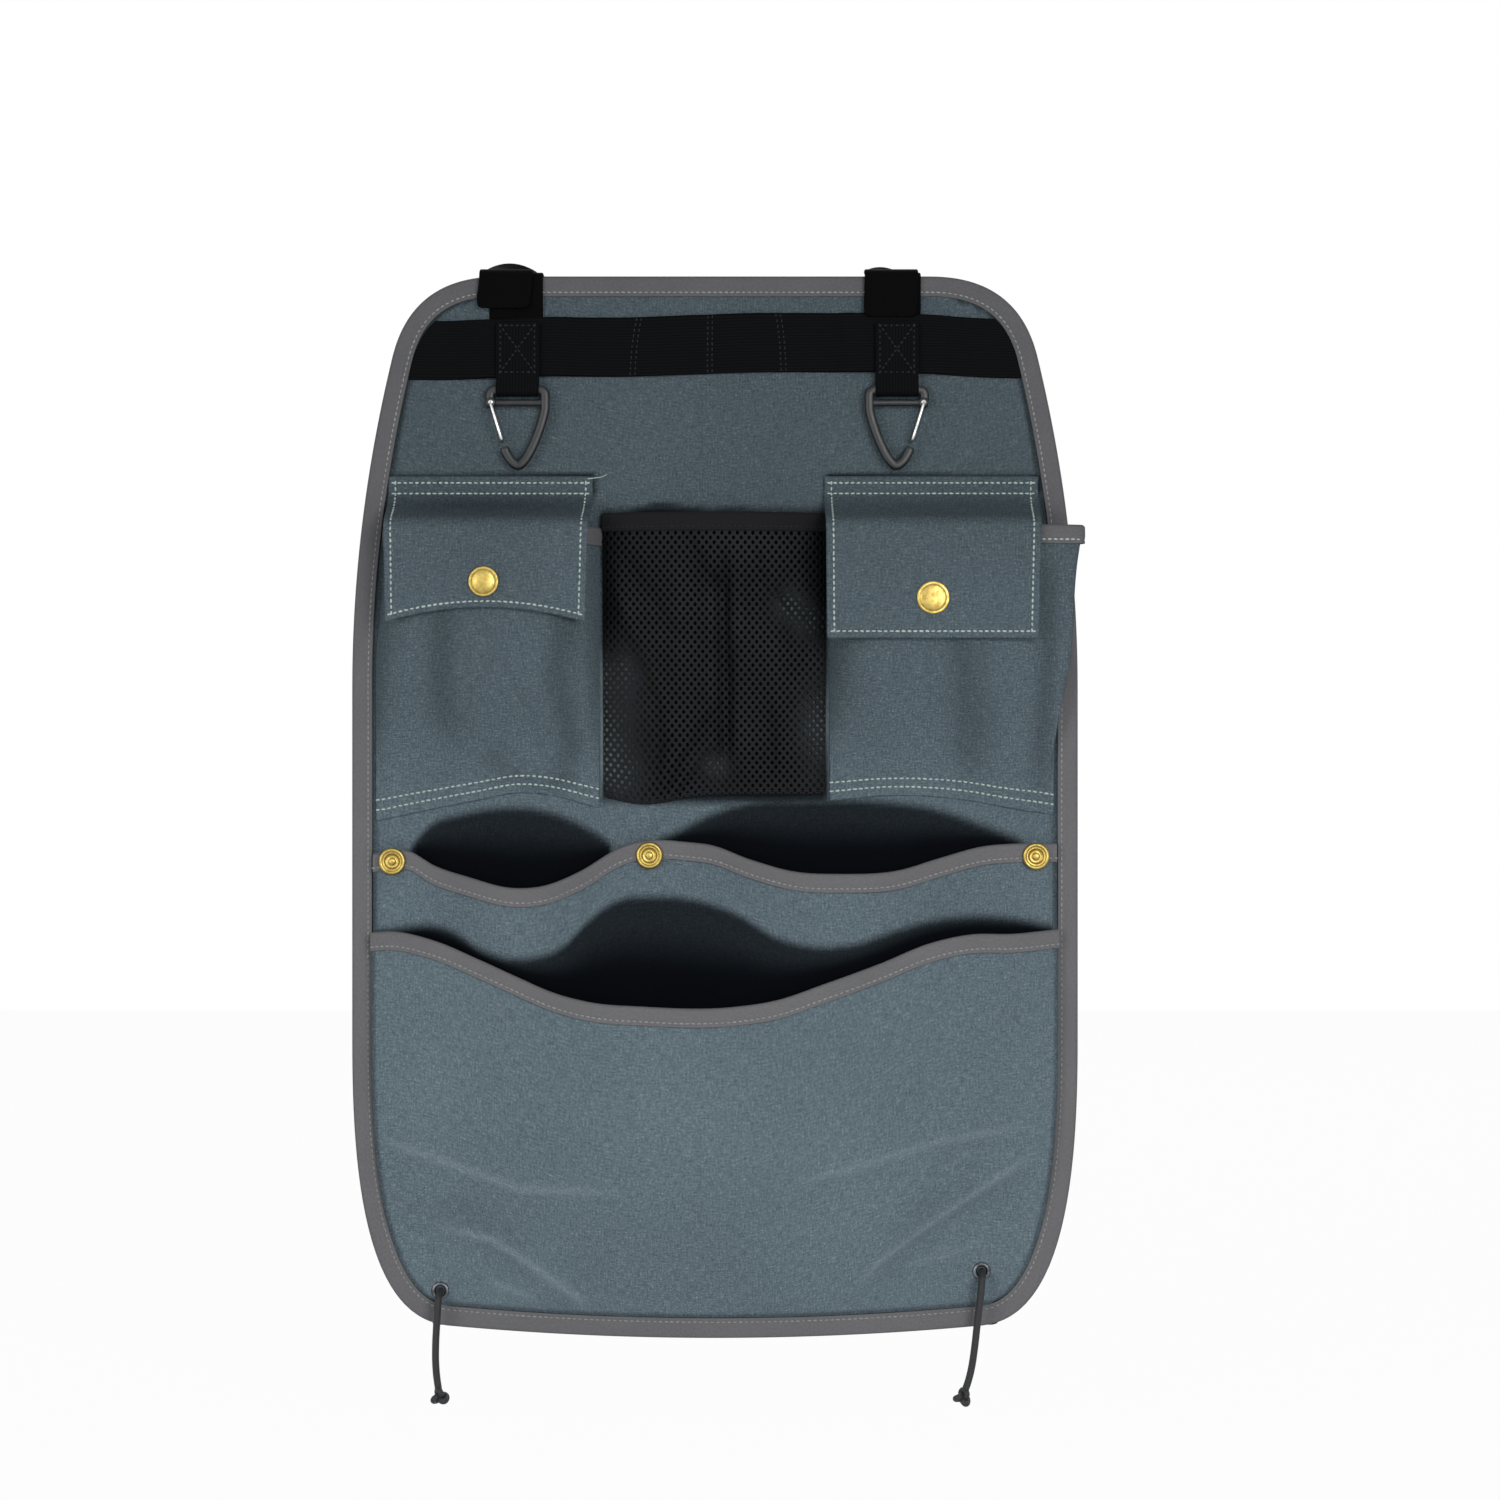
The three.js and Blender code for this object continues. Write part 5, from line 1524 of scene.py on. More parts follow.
@dataclass
class HangingStraps:
    """Two straps that run over the top edge and round the posts, and the ladder webbing over their roots."""

    places: dict[Side, float] = field(default_factory=lambda: {Side.LEFT: -111.0, Side.RIGHT: 100.0})
    shifts: dict[Side, float] = field(default_factory=lambda: {Side.LEFT: -5.5, Side.RIGHT: -1.5})
    width: float = 30.0
    thickness: float = 1.6
    root_drop: float = 50.0
    end_drops: dict[Side, float] = field(default_factory=lambda: {Side.LEFT: 18.5, Side.RIGHT: 23.2})
    bend: float = 4.0
    bend_z: float = -0.7
    post_radius: float = 7.0
    post_distance: float = 78.0
    loop_sink: float = 10.0
    squash: float = 0.5
    ladder_drop: float = 24.0
    ladder_width: float = 32.0
    ladder_half: float = 178.0
    ladder_stitches: tuple[float, ...] = (-48.0, -3.0, 40.0)
    ladder_course: tuple[Pair, ...] = (
        (-176, -1.5), (-137, -1.2), (-101, -0.2), (-53, 0.4), (0, 1.6), (53, 2.9), (85, 2.6), (115, 1.5),
        (154, -0.2), (176, -0.4))

    @property
    def front(self) -> float:
        """Y of the strap's middle where it passes over the binding."""
        return -(LAYOUT.panel + 2 * LAYOUT.clearance + LAYOUT.tape + self.thickness / 2)

    @property
    def pitch(self) -> float:
        """From one layer's middle to the next."""
        return self.thickness + LAYOUT.clearance

    def run(self, x: float, away: int, shift: float) -> tuple[np.ndarray, np.ndarray]:
        """The strap between the panel and the post, where it turns on edge."""
        share = np.linspace(0, 1, 31)
        centre_y = self.front + self.bend
        y = lerp(centre_y + 1, self.post_distance, share)
        twist = smooth(y, 0.06 * self.post_distance, 0.65 * self.post_distance)
        turn = (math.pi / 2) * twist
        wide = self.post_radius + LAYOUT.clearance + self.thickness / 2
        opened = smooth(y, 0.3 * self.post_distance, 0.8 * self.post_distance)
        reach = away * lerp(self.pitch / 2, wide, opened)
        axis = self.bend_z + self.bend * lerp(self.squash, 1, twist) + self.pitch / 2 - self.loop_sink * twist
        side = triples(np.cos(turn), 0 * y, -np.sin(turn))
        points = triples(x + reach * np.sin(turn), y, axis + reach * np.cos(turn))
        return points + side * (shift * (1 - share))[:, None], side

    def arc(self, x: float, radius: float) -> tuple[np.ndarray, np.ndarray]:
        """The bend over the top edge."""
        turn = np.linspace(0, math.pi / 2, 9)
        y = self.front + self.bend - radius * np.cos(turn)
        rise = radius - (1 - self.squash) * self.bend
        points = triples(np.full(9, x), y, self.bend_z + rise * np.sin(turn))
        return points, np.broadcast_to([1.0, 0.0, 0.0], points.shape)

    def strap(self, side: Side) -> Draft:
        """One whole strap, from its root to its returned end."""
        x, shift = self.places[side], self.shifts[side]
        root_y = -(LAYOUT.panel + LAYOUT.clearance + self.thickness / 2)
        root_path = rounded_path([
            (x, root_y, -self.root_drop), (x, root_y, -self.ladder_drop + 1), (x, self.front, -13.0),
            (x, self.front, -6.0)], 4)
        radius = self.post_radius + LAYOUT.clearance + self.thickness / 2
        turn = np.linspace(math.pi, 0, 15)[1:-1]
        axis = self.bend_z + self.bend + self.pitch / 2 - self.loop_sink
        wrap = triples(x + radius * np.cos(turn), self.post_distance + radius * np.sin(turn), axis)
        out, out_side = self.run(x, -1, 0.0)
        home, home_side = self.run(x, 1, shift)
        back, back_side = self.arc(x + shift, self.bend + self.pitch)
        low = -self.end_drops[side]
        end = np.array([[x + 1.25 * shift * k, self.front - self.pitch - away, z] for k, away, z in (
            (0.85, 0.0, -6.0), (1.0, 0.3, low + 4.0), (1.0, 0.6, low + 1.8), (1.0, 0.7, low + 0.6),
            (1.0, 0.7, low))])
        first, first_side = self.arc(x, self.bend)
        flat = np.array([[1.0, 0.0, 0.0]])
        path = np.vstack([root_path, first, out, wrap, home[::-1], back[::-1], end])
        sides = np.vstack([
            np.repeat(flat, len(root_path), 0), first_side, out_side, np.repeat([[0.0, 0.0, -1.0]], 13, 0),
            home_side[::-1], back_side[::-1], np.repeat(flat, len(end), 0),
        ])
        grow = np.ones(len(path))
        grow[-3:] = 0.97, 0.92, 0.82
        return sweep(path, sides, band(self.width, self.thickness), grow=grow)

    def lift(self, x: np.ndarray) -> np.ndarray:
        """How far the ladder webbing is lifted by the strap roots under it."""
        nearest = np.min([np.abs(x - place) for place in self.places.values()], axis=0)
        return self.pitch * (1 - smooth(nearest, self.width / 2 + 10, self.width / 2 + 20))

    def slack(self, x: np.ndarray) -> np.ndarray:
        """How far the webbing stands off between its sewn lines."""
        out = np.zeros_like(x)
        for a, b in zip(self.ladder_stitches, self.ladder_stitches[1:]):
            out += np.where((x > a) & (x < b), 1.2 * np.sin(math.pi * (x - a) / (b - a)), 0)
        return out

    def ladder_surface(self, u: np.ndarray, v: np.ndarray) -> np.ndarray:
        """Middle layer of the ladder webbing."""
        z = -self.ladder_drop - v * self.ladder_width
        x = lerp(-1, 1, u) * LAYOUT.inner_edge(z)
        y = -(LAYOUT.panel + LAYOUT.clearance + self.thickness / 2) - self.lift(x) - self.slack(x)
        return triples(x, y, z + flow(self.ladder_course, x) + 0.3 * np.sin(x / 17.0 + 1.0))

    def build(self, finishes: Finishes) -> None:
        """Straps, ladder webbing and their stitches."""
        for side in Side:
            strap = self.strap(side).build(f"{side.value}_strap_band", finishes.strap)
            settle(strap, BODY, "hook_loop", f"{side.value}_hanging_strap")
        cloth = Cloth(self.ladder_surface, self.thickness, np.linspace(0, 1, 260), np.linspace(0, 1, 22))
        lay(cloth, "ladder_band", finishes.webbing, "webbing", "ladder_webbing")
        seams = Seams("ladder_stitches", pitch=3.0, length=2.2, width=0.8, height=0.6)
        for place in self.ladder_stitches:
            u = np.full(9, 0.5 + place / (2 * self.ladder_half))
            for shift in (-0.004, 0.004):
                seams.add(cloth.seam(u + shift, np.linspace(0.03, 0.97, 9), -0.1))
        seams.sew(finishes.dark_thread, "webbing")


@dataclass
class Carabiner:
    """A carabiner in its webbing tab, with a wire gate."""

    side: Side
    x: float
    tab_width: float = 24.0
    tab_thickness: float = 1.2
    tab_drop: float = 27.0
    hanger_y: float = -7.85
    hanger_z: float = -64.4
    tab_back: float = -7.1
    leg_end: float = -57.0
    bar: float = 2.1
    half: float = 15.3
    length: float = 42.0
    crossbar_drop: float = 7.0
    crossbar: float = 1.4
    nose_drop: float = 31.8
    nose_reach: float = 7.6
    wire: float = 0.9
    pivot_reach: float = 15.0

    def place(self, a: float, z: float) -> tuple[float, float, float]:
        """A point of the frame's plane, with a counted towards the gate."""
        return self.x + self.side.sign * a, self.hanger_y, self.hanger_z + z

    def tab(self) -> Draft:
        """The folded webbing tab."""
        front = self.tab_back - self.tab_thickness - LAYOUT.clearance
        wrap = self.bar + LAYOUT.clearance + self.tab_thickness / 2
        points = [(self.tab_back, -self.tab_drop), (self.tab_back, -45.0), (self.tab_back, self.leg_end)]
        for turn in np.linspace(0, math.pi, 15):
            points.append((self.hanger_y + wrap * math.cos(turn), self.hanger_z - wrap * math.sin(turn)))
        points += [(front, self.leg_end), (front, -45.0), (front, -self.tab_drop)]
        path = np.array([(self.x, y, z) for y, z in points])
        return sweep(path, np.array([1.0, 0, 0]), band(self.tab_width, self.tab_thickness))

    def frame(self) -> list[Draft]:
        """The rounded triangle with its crossbar."""
        h, c, n = self.half, 2.7, self.length
        outline = [
            (self.pivot_reach - 0.6, -self.crossbar_drop - 2.6), (self.pivot_reach, -self.crossbar_drop),
            (h, -c), (h - 0.8, -0.8), (h - c, 0), (0, 0), (c - h, 0), (0.8 - h, -0.8), (-h, -c),
            (-h, -self.crossbar_drop), (0.06 - h, -0.26 * n), (-0.82 * h, -0.5 * n),
            (-0.56 * h, -0.74 * n), (-0.3 * h, -0.91 * n),
            (-0.04 * h, -n), (0.2 * h, -0.95 * n), (self.nose_reach - 1.6, -self.nose_drop - 3.8),
            (self.nose_reach, -self.nose_drop),
        ]
        ring = rounded_path([self.place(a, z) for a, z in outline], 7)
        ridge = disc(self.bar, 20)
        ridge = np.sign(ridge) * (np.abs(ridge) / self.bar) ** 0.8 * self.bar * [1.0, 1.24]
        grow = np.ones(len(ring))
        grow[:4], grow[-4:] = [0.72, 0.88, 0.96, 1.0], [1.0, 0.97, 0.9, 0.74]
        bar = np.array([self.place(a, -self.crossbar_drop) for a in np.linspace(-h, self.pivot_reach, 9)])
        lug = [(0.0, 2.5), (2.3, 2.5), (2.75, 2.1), (2.75, -2.1), (2.3, -2.5), (0.0, -2.5)]
        x, y, z = self.place(self.pivot_reach - 0.2, -self.crossbar_drop)
        return [
            sweep(ring, np.array([0.0, 1.0, 0.0]), ridge, grow=grow),
            sweep(bar, np.array([0.0, 1.0, 0.0]), disc(self.crossbar, 16, 1.35)),
            turned(lug, x, y, z, 28),
        ]

    def gate(self) -> Draft:
        """The closed loop of wire, hinged in the frame's lug."""
        leg_y = self.bar + LAYOUT.clearance + self.wire
        bend = 1.4
        top = np.array([self.pivot_reach, -self.crossbar_drop])
        end = np.array([self.nose_reach + 0.9, -self.nose_drop + self.bar + self.wire + 0.6])
        along = unit(end - top)
        corners = [(0, -1, 0), (0, -1, 1), (1, -1, 1), (1, -1, 0), (1, 1, 0), (1, 1, 1), (0, 1, 1), (0, 1, 0)]
        points = []
        for at_end, front, on_leg in corners:
            spot = end - along * on_leg * bend if at_end else top + along * on_leg * bend
            x, _, z = self.place(spot[0], spot[1])
            points.append((x, self.hanger_y + front * (leg_y if on_leg else leg_y - bend), z))
        closed = np.array([*points[-2:], *points, *points[:2]])
        path = rounded_path(closed, 6)[12:-12]
        sides = np.array([-along[1] * self.side.sign, 0.0, along[0]])
        return sweep(path[:-1], sides, disc(self.wire, 12), closed=True)

    def build(self, finishes: Finishes) -> None:
        """Tab, bar tacks, frame and gate."""
        name = self.side.value
        tab = self.tab().build(f"{name}_tab_band", finishes.webbing)
        settle(tab, BODY, "webbing", f"{name}_carabiner_tab")
        seams = Seams(f"{name}_tab_stitches", pitch=2.9, length=2.1, width=0.9, height=0.8)
        y = self.tab_back - 1.5 * self.tab_thickness - LAYOUT.clearance
        left, right, top, low = self.x - 9.5, self.x + 9.5, -self.tab_drop - 1.5, -54.5
        box = [(left, top), (right, top), (right, low), (left, low)]
        for (x1, z1), (x2, z2) in [*zip(box, box[1:] + box[:1]), (box[0], box[2]), (box[1], box[3])]:
            seams.row((x1, y, z1), (x2, y, z2))
        seams.sew(finishes.dark_thread, "webbing")
        body = f"{name}_carabiner"
        for draft, part in zip(self.frame(), ("hoop", "crossbar", "lug")):
            nodes = [f"{name}_carabiner_frame"] if part == "hoop" else []
            fitting(draft, f"{name}_carabiner_{part}", finishes.plastic, "plastic", *nodes, body=body)
        gate = self.gate().build(f"{name}_wire_gate", finishes.wire)
        settle(gate, f"{name}_gate", "gate_wire", f"{name}_carabiner_gate")
        x, y, z = self.place(self.pivot_reach - 0.2, -self.crossbar_drop)
        rivet = [(0.0, 3.1), (0.8, 3.05), (1.25, 2.8), (1.3, 2.4), (1.3, 0.0), (0.0, 0.0)]
        draft = turned(rivet, x, y, z, 24)
        fitting(draft, f"{name}_pivot_head", finishes.wire, "gate_wire", body=f"{name}_gate")


@dataclass
class Pouch:
    """A box pouch with a snapped flap."""

    side: Side
    inner: float
    depth: float
    lean: float
    flap_inner: float
    flap_taper: float
    flap_top: float
    flap_flare: float
    flap_length: float
    flap_arch: float
    snap_shift: float
    snap_drop: float
    cap_radius: float
    cap_height: float
    rim_drop: float = 142.0
    bottom_drop: float = 294.0
    squareness: float = 7.0
    hem: tuple[Pair, ...] = ()
    folds: tuple[Crease, ...] = ()
    painted_fold_shade: tuple[Crease, ...] = ()
    flap_shade: float = 0.3
    flap_drop: float = 112.6
    flap_seam: float = 9.0
    flap_thickness: float = 1.5
    stud_radius: float = 5.8
    socket_radius: float = 6.3
    stud_height: float = 0.9
    socket_height: float = 1.9
    nib: float = 2.4

    def surface(self, u: np.ndarray, v: np.ndarray) -> np.ndarray:
        """Middle layer of the pouch's cloth."""
        outward = self.side.sign
        share = np.sin((math.pi / 2) * (2 * u - 1)) * 0.75 + (2 * u - 1) * 0.25
        level = lerp(-self.rim_drop, -self.bottom_drop, v)
        room = LAYOUT.cloth / 2 + LAYOUT.clearance + LAYOUT.tape
        edges = LAYOUT.inner_edge(np.array([-self.rim_drop, -self.bottom_drop]))
        outer = outward * (lerp(edges[0], edges[1], smooth(v, 0.1, 0.5)) - room)
        x = lerp(self.inner, outer, (share * outward + 1) / 2)
        across = 1 - np.abs(share) ** self.squareness
        swell = self.depth * across * (1 - smooth(v, 0.42, 1))
        lean = outward * self.lean * smooth(share * outward, 0.45, 0.95) * across**2 * (1 - v) ** 0.75
        arch = (flow(self.hem, x) + self.bottom_drop) * v**2
        free = across * smooth(v, 0.02, 0.3) * (1 - smooth(v, 0.9, 1))
        soft = 0.7 * folds(x, level, 52, 0.5 * outward, 2.0 + outward) + 0.35 * folds(x, level, 27, -0.8, 5.0)
        soft = soft + sum(fold.height(x, level) for fold in self.folds)
        y = -LAYOUT.cloth_front - LAYOUT.clearance / 3 - swell - free * soft
        return triples(x + lean, np.minimum(y, -LAYOUT.cloth_front), level + arch)

    def marks(self, grid: np.ndarray) -> dict[str, np.ndarray]:
        """Painted shade in soft bands between the folds."""
        x, z = grid[..., 0], grid[..., 2]
        return {PAINTED_SHADE: np.clip(sum(fold.wear_and_painted_tone(x, z) for fold in self.painted_fold_shade), 0, 0.6)}

    def flap_marks(self, grid: np.ndarray) -> dict[str, np.ndarray]:
        """Shade where the flap bends out over the pouch's rim."""
        x, z = grid[..., 0], grid[..., 2]
        middle = (self.flap_inner + self.sewn_outer) / 2
        side = np.clip(np.abs(x - middle) / 60, 0, 1)
        return {PAINTED_SHADE: self.flap_shade * np.exp(-(((z + 129.0) / 7.0) ** 2)) * (1 - 0.5 * side**2)}

    @property
    def flap_y(self) -> float:
        """Y of the flap's middle layer where it hangs."""
        stack = LAYOUT.cloth / 2 + self.stud_height + self.socket_height + 3 * LAYOUT.clearance
        return -(LAYOUT.cloth_front + LAYOUT.clearance / 3 + self.depth + stack + self.flap_thickness / 2)

    @property
    def sewn_outer(self) -> float:
        """Outer end of the flap's sewn band."""
        return self.side.sign * float(LAYOUT.inner_edge(np.array(-self.flap_drop)))

    def flap_surface(self, u: np.ndarray, v: np.ndarray) -> np.ndarray:
        """Middle layer of the flap."""
        on_panel = -(LAYOUT.panel + LAYOUT.clearance + self.flap_thickness / 2)
        front, foot = self.flap_y, -self.flap_drop - self.flap_seam
        clear = -self.rim_drop + 2 * LAYOUT.clearance + LAYOUT.tape + self.flap_thickness
        profile = rounded_path([
            (on_panel, -self.flap_drop), (on_panel, -self.flap_drop - self.flap_seam / 2), (on_panel, foot),
            (lerp(on_panel, front, 0.2), lerp(foot, clear, 0.36)),
            (lerp(on_panel, front, 0.55), lerp(foot, clear, 0.7)),
            (lerp(on_panel, front, 0.86), clear + 1.2), (front + 0.7, clear - 2.4), (front, clear - 7),
            (front, clear - 14), (front, -self.flap_drop - self.flap_length),
        ], 8)
        run = lengths_along(profile)
        at = v * run[-1]
        y, z = np.interp(at, run, profile[:, 0]), np.interp(at, run, profile[:, 1])
        wide = self.sewn_outer + self.side.sign * self.flap_flare
        outer = lerp(self.sewn_outer + self.side.sign * self.flap_top, wide, v)
        x = lerp(self.flap_inner + self.flap_taper * v, outer, u)
        across = 2 * u - 1
        hanging = smooth(v, 0.6, 1)
        z = z + self.flap_arch * hanging * (1 - across**2)
        bend = 0.55 * folds(x, z, 60, 0.3, 3.0 * self.side.sign) * smooth(v, 0.3, 0.55) * (1 - across**4)
        curl = 1.1 * smooth(np.abs(across), 0.8, 1.0) * smooth(v, 0.45, 0.8)
        return triples(x, y - bend * 0.6 + curl * 0.6, z)

    def snap(self, finishes: Finishes) -> None:
        """Cap, socket and stud."""
        name = self.side.value
        x = (self.flap_inner + self.sewn_outer) / 2 + self.snap_shift
        z = -self.flap_drop - self.snap_drop
        r, h = self.cap_radius, self.cap_height
        dome = [(0.0, h)]
        dome += [(r * s, h * (1 - 0.55 * s**2.6)) for s in (0.15, 0.3, 0.45, 0.58, 0.7, 0.78)]
        dome += [(0.82 * r, 0.54 * h), (0.86 * r, 0.5 * h), (0.92 * r, 0.56 * h), (0.97 * r, 0.5 * h),
                 (r, 0.34 * h), (0.99 * r, 0.16 * h), (0.94 * r, 0.0), (0.0, 0.0)]
        cap_y = self.flap_y - self.flap_thickness / 2 - 0.05
        draft = turned(dome, x, cap_y, z, 64)
        fitting(draft, f"{name}_snap_cap", finishes.brass, "brass", f"{name}_flap_cap")
        bore, s, sh = self.nib + LAYOUT.clearance, self.socket_radius, self.socket_height
        socket_y = self.flap_y + self.flap_thickness / 2 + LAYOUT.clearance + sh
        socket = [(bore, 0), (0.8 * s, 0), (0.93 * s, 0.12 * sh), (s, 0.4 * sh), (s, 0.9 * sh),
                  (0.97 * s, sh), (bore, sh), (bore, 0)]
        draft = turned(socket, x, socket_y, z)
        fitting(draft, f"{name}_snap_socket", finishes.brass, "brass", f"{name}_flap_socket")
        t, th, nib = self.stud_radius, self.stud_height, self.nib
        top = th + LAYOUT.clearance + 0.7 * sh
        stud = [(0, 0), (t, 0), (t, 0.5 * th), (0.96 * t, 0.7 * th), (nib + 0.4, th), (nib, th + 0.3),
                (nib, top - 0.5), (0.9 * nib, top - 0.12), (0.7 * nib, top), (0, top)]
        draft = turned(stud, x, socket_y + LAYOUT.clearance + th, z)
        fitting(draft, f"{name}_snap_stud", finishes.brass, "brass", f"{name}_pocket_stud")

    def build(self, finishes: Finishes) -> None:
        """Pouch, tape, flap, stitches and snap."""
        name = self.side.value
        cloth = Cloth(self.surface, LAYOUT.cloth, np.linspace(0, 1, 110), np.linspace(0, 1, 84), self.marks)
        lay(cloth, f"{name}_pouch_cloth", finishes.canvas, "canvas", f"{name}_pocket")
        piece, node = f"{name}_pouch_tape", f"{name}_pocket_binding"
        lip = tape_rim(self.surface, 90, piece, finishes.tape, "binding", node)
        ways = np.linspace(0, 1, 70), np.linspace(0, 1, 90)
        flap = Cloth(self.flap_surface, self.flap_thickness, *ways, self.flap_marks)
        lay(flap, f"{name}_flap_cloth", finishes.canvas, "canvas", f"{name}_pocket_flap")
        seams = Seams(f"{name}_pouch_stitches", pitch=3.2, length=2.6, width=1.1, height=0.75)
        u = np.linspace(0.02, 0.98, 60)
        long = flap.flat[1] / MM
        for drop in (3.2, 9.6):
            seams.add(flap.seam(u, np.full(60, drop / long)))
        down = np.linspace(3.2 / long, 0.965, 60)
        for place in (0.03, 0.97):
            seams.add(flap.seam(np.full(60, place), down))
        seams.add(flap.seam(u, np.full(60, 0.97)))
        for v in (0.935, 0.968):
            seams.add(cloth.seam(u, np.full(60, v)))
        seams.add(lip)
        seams.sew(finishes.thread, "binding")
        self.snap(finishes)


POUCHES = (
    Pouch(
        side=Side.LEFT, inner=-65.0, depth=24.0, lean=3.0, flap_inner=-68.6, flap_taper=-2.9, flap_top=0.3,
        flap_flare=-1.0, flap_length=81.4, flap_arch=8.0, snap_shift=-1.6, snap_drop=59.9,
        cap_radius=8.4, cap_height=3.2,
        hem=((-187, -304), (-169, -300), (-134, -293), (-108, -288.5), (-94.6, -289.5), (-65, -297)),
        folds=(
            Crease(((-140, -175), (-118, -215), (-104, -250), (-92, -292)), -3.0, 9, 0),
            Crease(((-112, -170), (-128, -215), (-150, -262), (-160, -300)), 2.4, 10, 0),
            Crease(((-80, -150), (-74, -200), (-76, -250), (-70, -290)), -1.6, 7, 0),
        ),
        # painted shade bands between the folds
        painted_fold_shade=(
            Crease(((-146, -170), (-150, -195), (-151, -232), (-146, -268)), 0, 9, 0.3, 9.0),
            Crease(((-78, -165), (-84, -195), (-87, -224), (-80, -262), (-90, -300)), 0, 9, 0.32, 8.0),
            Crease(((-130, -260), (-118, -276), (-100, -284), (-70, -282)), 0, 9, 0.2, 7.0),
        ),
        flap_shade=0.42,
    ),
    Pouch(
        side=Side.RIGHT, inner=64.5, depth=26.0, lean=63.0, flap_inner=61.5, flap_taper=1.0, flap_top=-1.5,
        flap_flare=-4.0, flap_length=90.4, flap_arch=0.0, snap_shift=-1.5, snap_drop=68.8,
        cap_radius=9.0, cap_height=2.2,
        hem=((63, -293), (102, -290), (143, -293), (170, -298), (191.5, -301)),
        folds=(
            Crease(((128, -190), (136, -225), (134, -262), (140, -300)), -2.6, 10, 0),
            Crease(((100, -195), (96, -235), (104, -270), (98, -300)), 2.2, 12, 0),
            Crease(((176, -160), (170, -215), (178, -262), (182, -295)), -2.0, 7, 0),
        ),
        # painted shade bands between the folds
        painted_fold_shade=(
            Crease(((128, -180), (138, -210), (143, -248), (147, -300)), 0, 9, 0.26, 12.0),
            Crease(((186, -150), (184, -200), (182, -250), (180, -310)), 0, 9, 0.3, 6.0),
        ),
        flap_shade=0.16,
    ),
)


@dataclass
class NetPocket:
    """The mesh pocket between the pouches."""

    left: float = -62.3
    right: float = 61.8
    rim_drop: float = 134.0
    bottom_drop: float = 296.0
    depth: float = 13.0
    fold: float = 1.6
    thickness: float = 1.2
    yarn_share: float = 0.72
    # relief of each fold, with a painted shade line along it
    creases: tuple[Crease, ...] = (
        Crease(((7, -142), (7, -196), (9, -235), (8, -290)), -2.2, 6, 1.0, 2.6),
        Crease(((-14, -142), (-6, -158), (3, -174)), 1.6, 5, 0.9, 1.9),
        Crease(((21, -146), (32, -177), (54, -197)), 1.8, 6, 0.9, 2.2),
        Crease(((31, -232), (33, -255), (34, -282)), 1.3, 5, 0.8, 1.8),
        Crease(((-60, -165), (-47, -200), (-31, -235), (-28, -256), (-32, -296)), 2.6, 8, 1.0, 2.6),
        Crease(((-32, -296), (-14, -262), (8, -226)), 1.5, 5, 0.8, 2.0),
        Crease(((-26, -296), (-12, -276), (8, -254)), 1.2, 5, 0.6, 1.8),
        Crease(((-50, -150), (-34, -176), (-12, -210)), 0.9, 6, 0.5, 3.0),
    )

    def shade(self, x: np.ndarray, z: np.ndarray) -> np.ndarray:
        """Painted shade on the yarn: along the folds and towards the sewn edges, less where light falls
        through.
        """
        lines = sum(crease.wear_and_painted_tone(x, z) for crease in self.creases)
        edges = 0.7 * (1 - smooth(np.minimum(x - self.left, self.right - x), 0.5, 7.0))
        patches = 0.5 * (0.5 + 0.5 * folds(x, z, 36, 0.7, 2.2))
        return np.clip(lines + edges + patches - 0.35 * net_light(x, z), 0, 1)

    def surface(self, u: np.ndarray, v: np.ndarray) -> np.ndarray:
        """Middle layer of the net."""
        across = 2 * u - 1
        rest = (1 - across**2) * (1 - v**2)
        gathered = smooth(v, 0.08, 0.25) * (1 - v)
        waves = np.sin(2 * math.pi * 4 * u + 0.9 * v) + 0.5 * np.sin(2 * math.pi * 7 * u - 2 * v)
        fold = self.fold * waves * (1 - across**2) * gathered
        crease = 3.2 * np.exp(-(((u - 0.53 - 0.02 * v) / 0.035) ** 2))
        crease = crease * smooth(v, 0.12, 0.3) * (1 - smooth(v, 0.8, 0.98))
        stand = 1.6 * (1 - smooth(v, 0.1, 0.3)) + LAYOUT.clearance / 3
        tuck = 5.5 * np.exp(-(((u - 0.19) / 0.17) ** 2)) * smooth(v, 0.75, 1.0)
        sag = 3 * np.sin(math.pi * u) * v * (1 - v) + tuck - 1.0 * v
        level = lerp(-self.rim_drop, -self.bottom_drop + 5.0, v) - sag
        thick = LAYOUT.panel + LAYOUT.clearance + self.thickness / 2
        x = lerp(self.left, self.right, u)
        relief = sum(line.height(x, level) for line in self.creases)
        y = -thick - stand - self.depth * rest - (fold - crease + relief) * smooth(rest, 0, 0.3)
        return triples(x, y, level)

    def build(self, finishes: Finishes) -> None:
        """Net, hem and black stitches."""
        piece = Net("net_cloth", self.surface, shade=self.shade).knit(finishes.net)
        settle(piece, BODY, "mesh", "mesh_pocket")
        grid = Cloth(self.surface, 1.0, np.linspace(0, 1, 40), np.linspace(0, 1, 40))
        wide, long = grid.flat
        log.info("net cut %s", grid.flat)
        lip = tape_rim(self.surface, 60, "net_hem", finishes.hem, "mesh", "mesh_pocket_binding")
        seams = Seams("net_stitches", pitch=2.9, length=2.0, width=0.75, height=0.6)
        seams.add(lip)
        seams.add(grid.seam(np.linspace(0.01, 0.99, 50), np.full(50, 0.985), 0.2))
        seams.sew(finishes.dark_thread, "mesh")


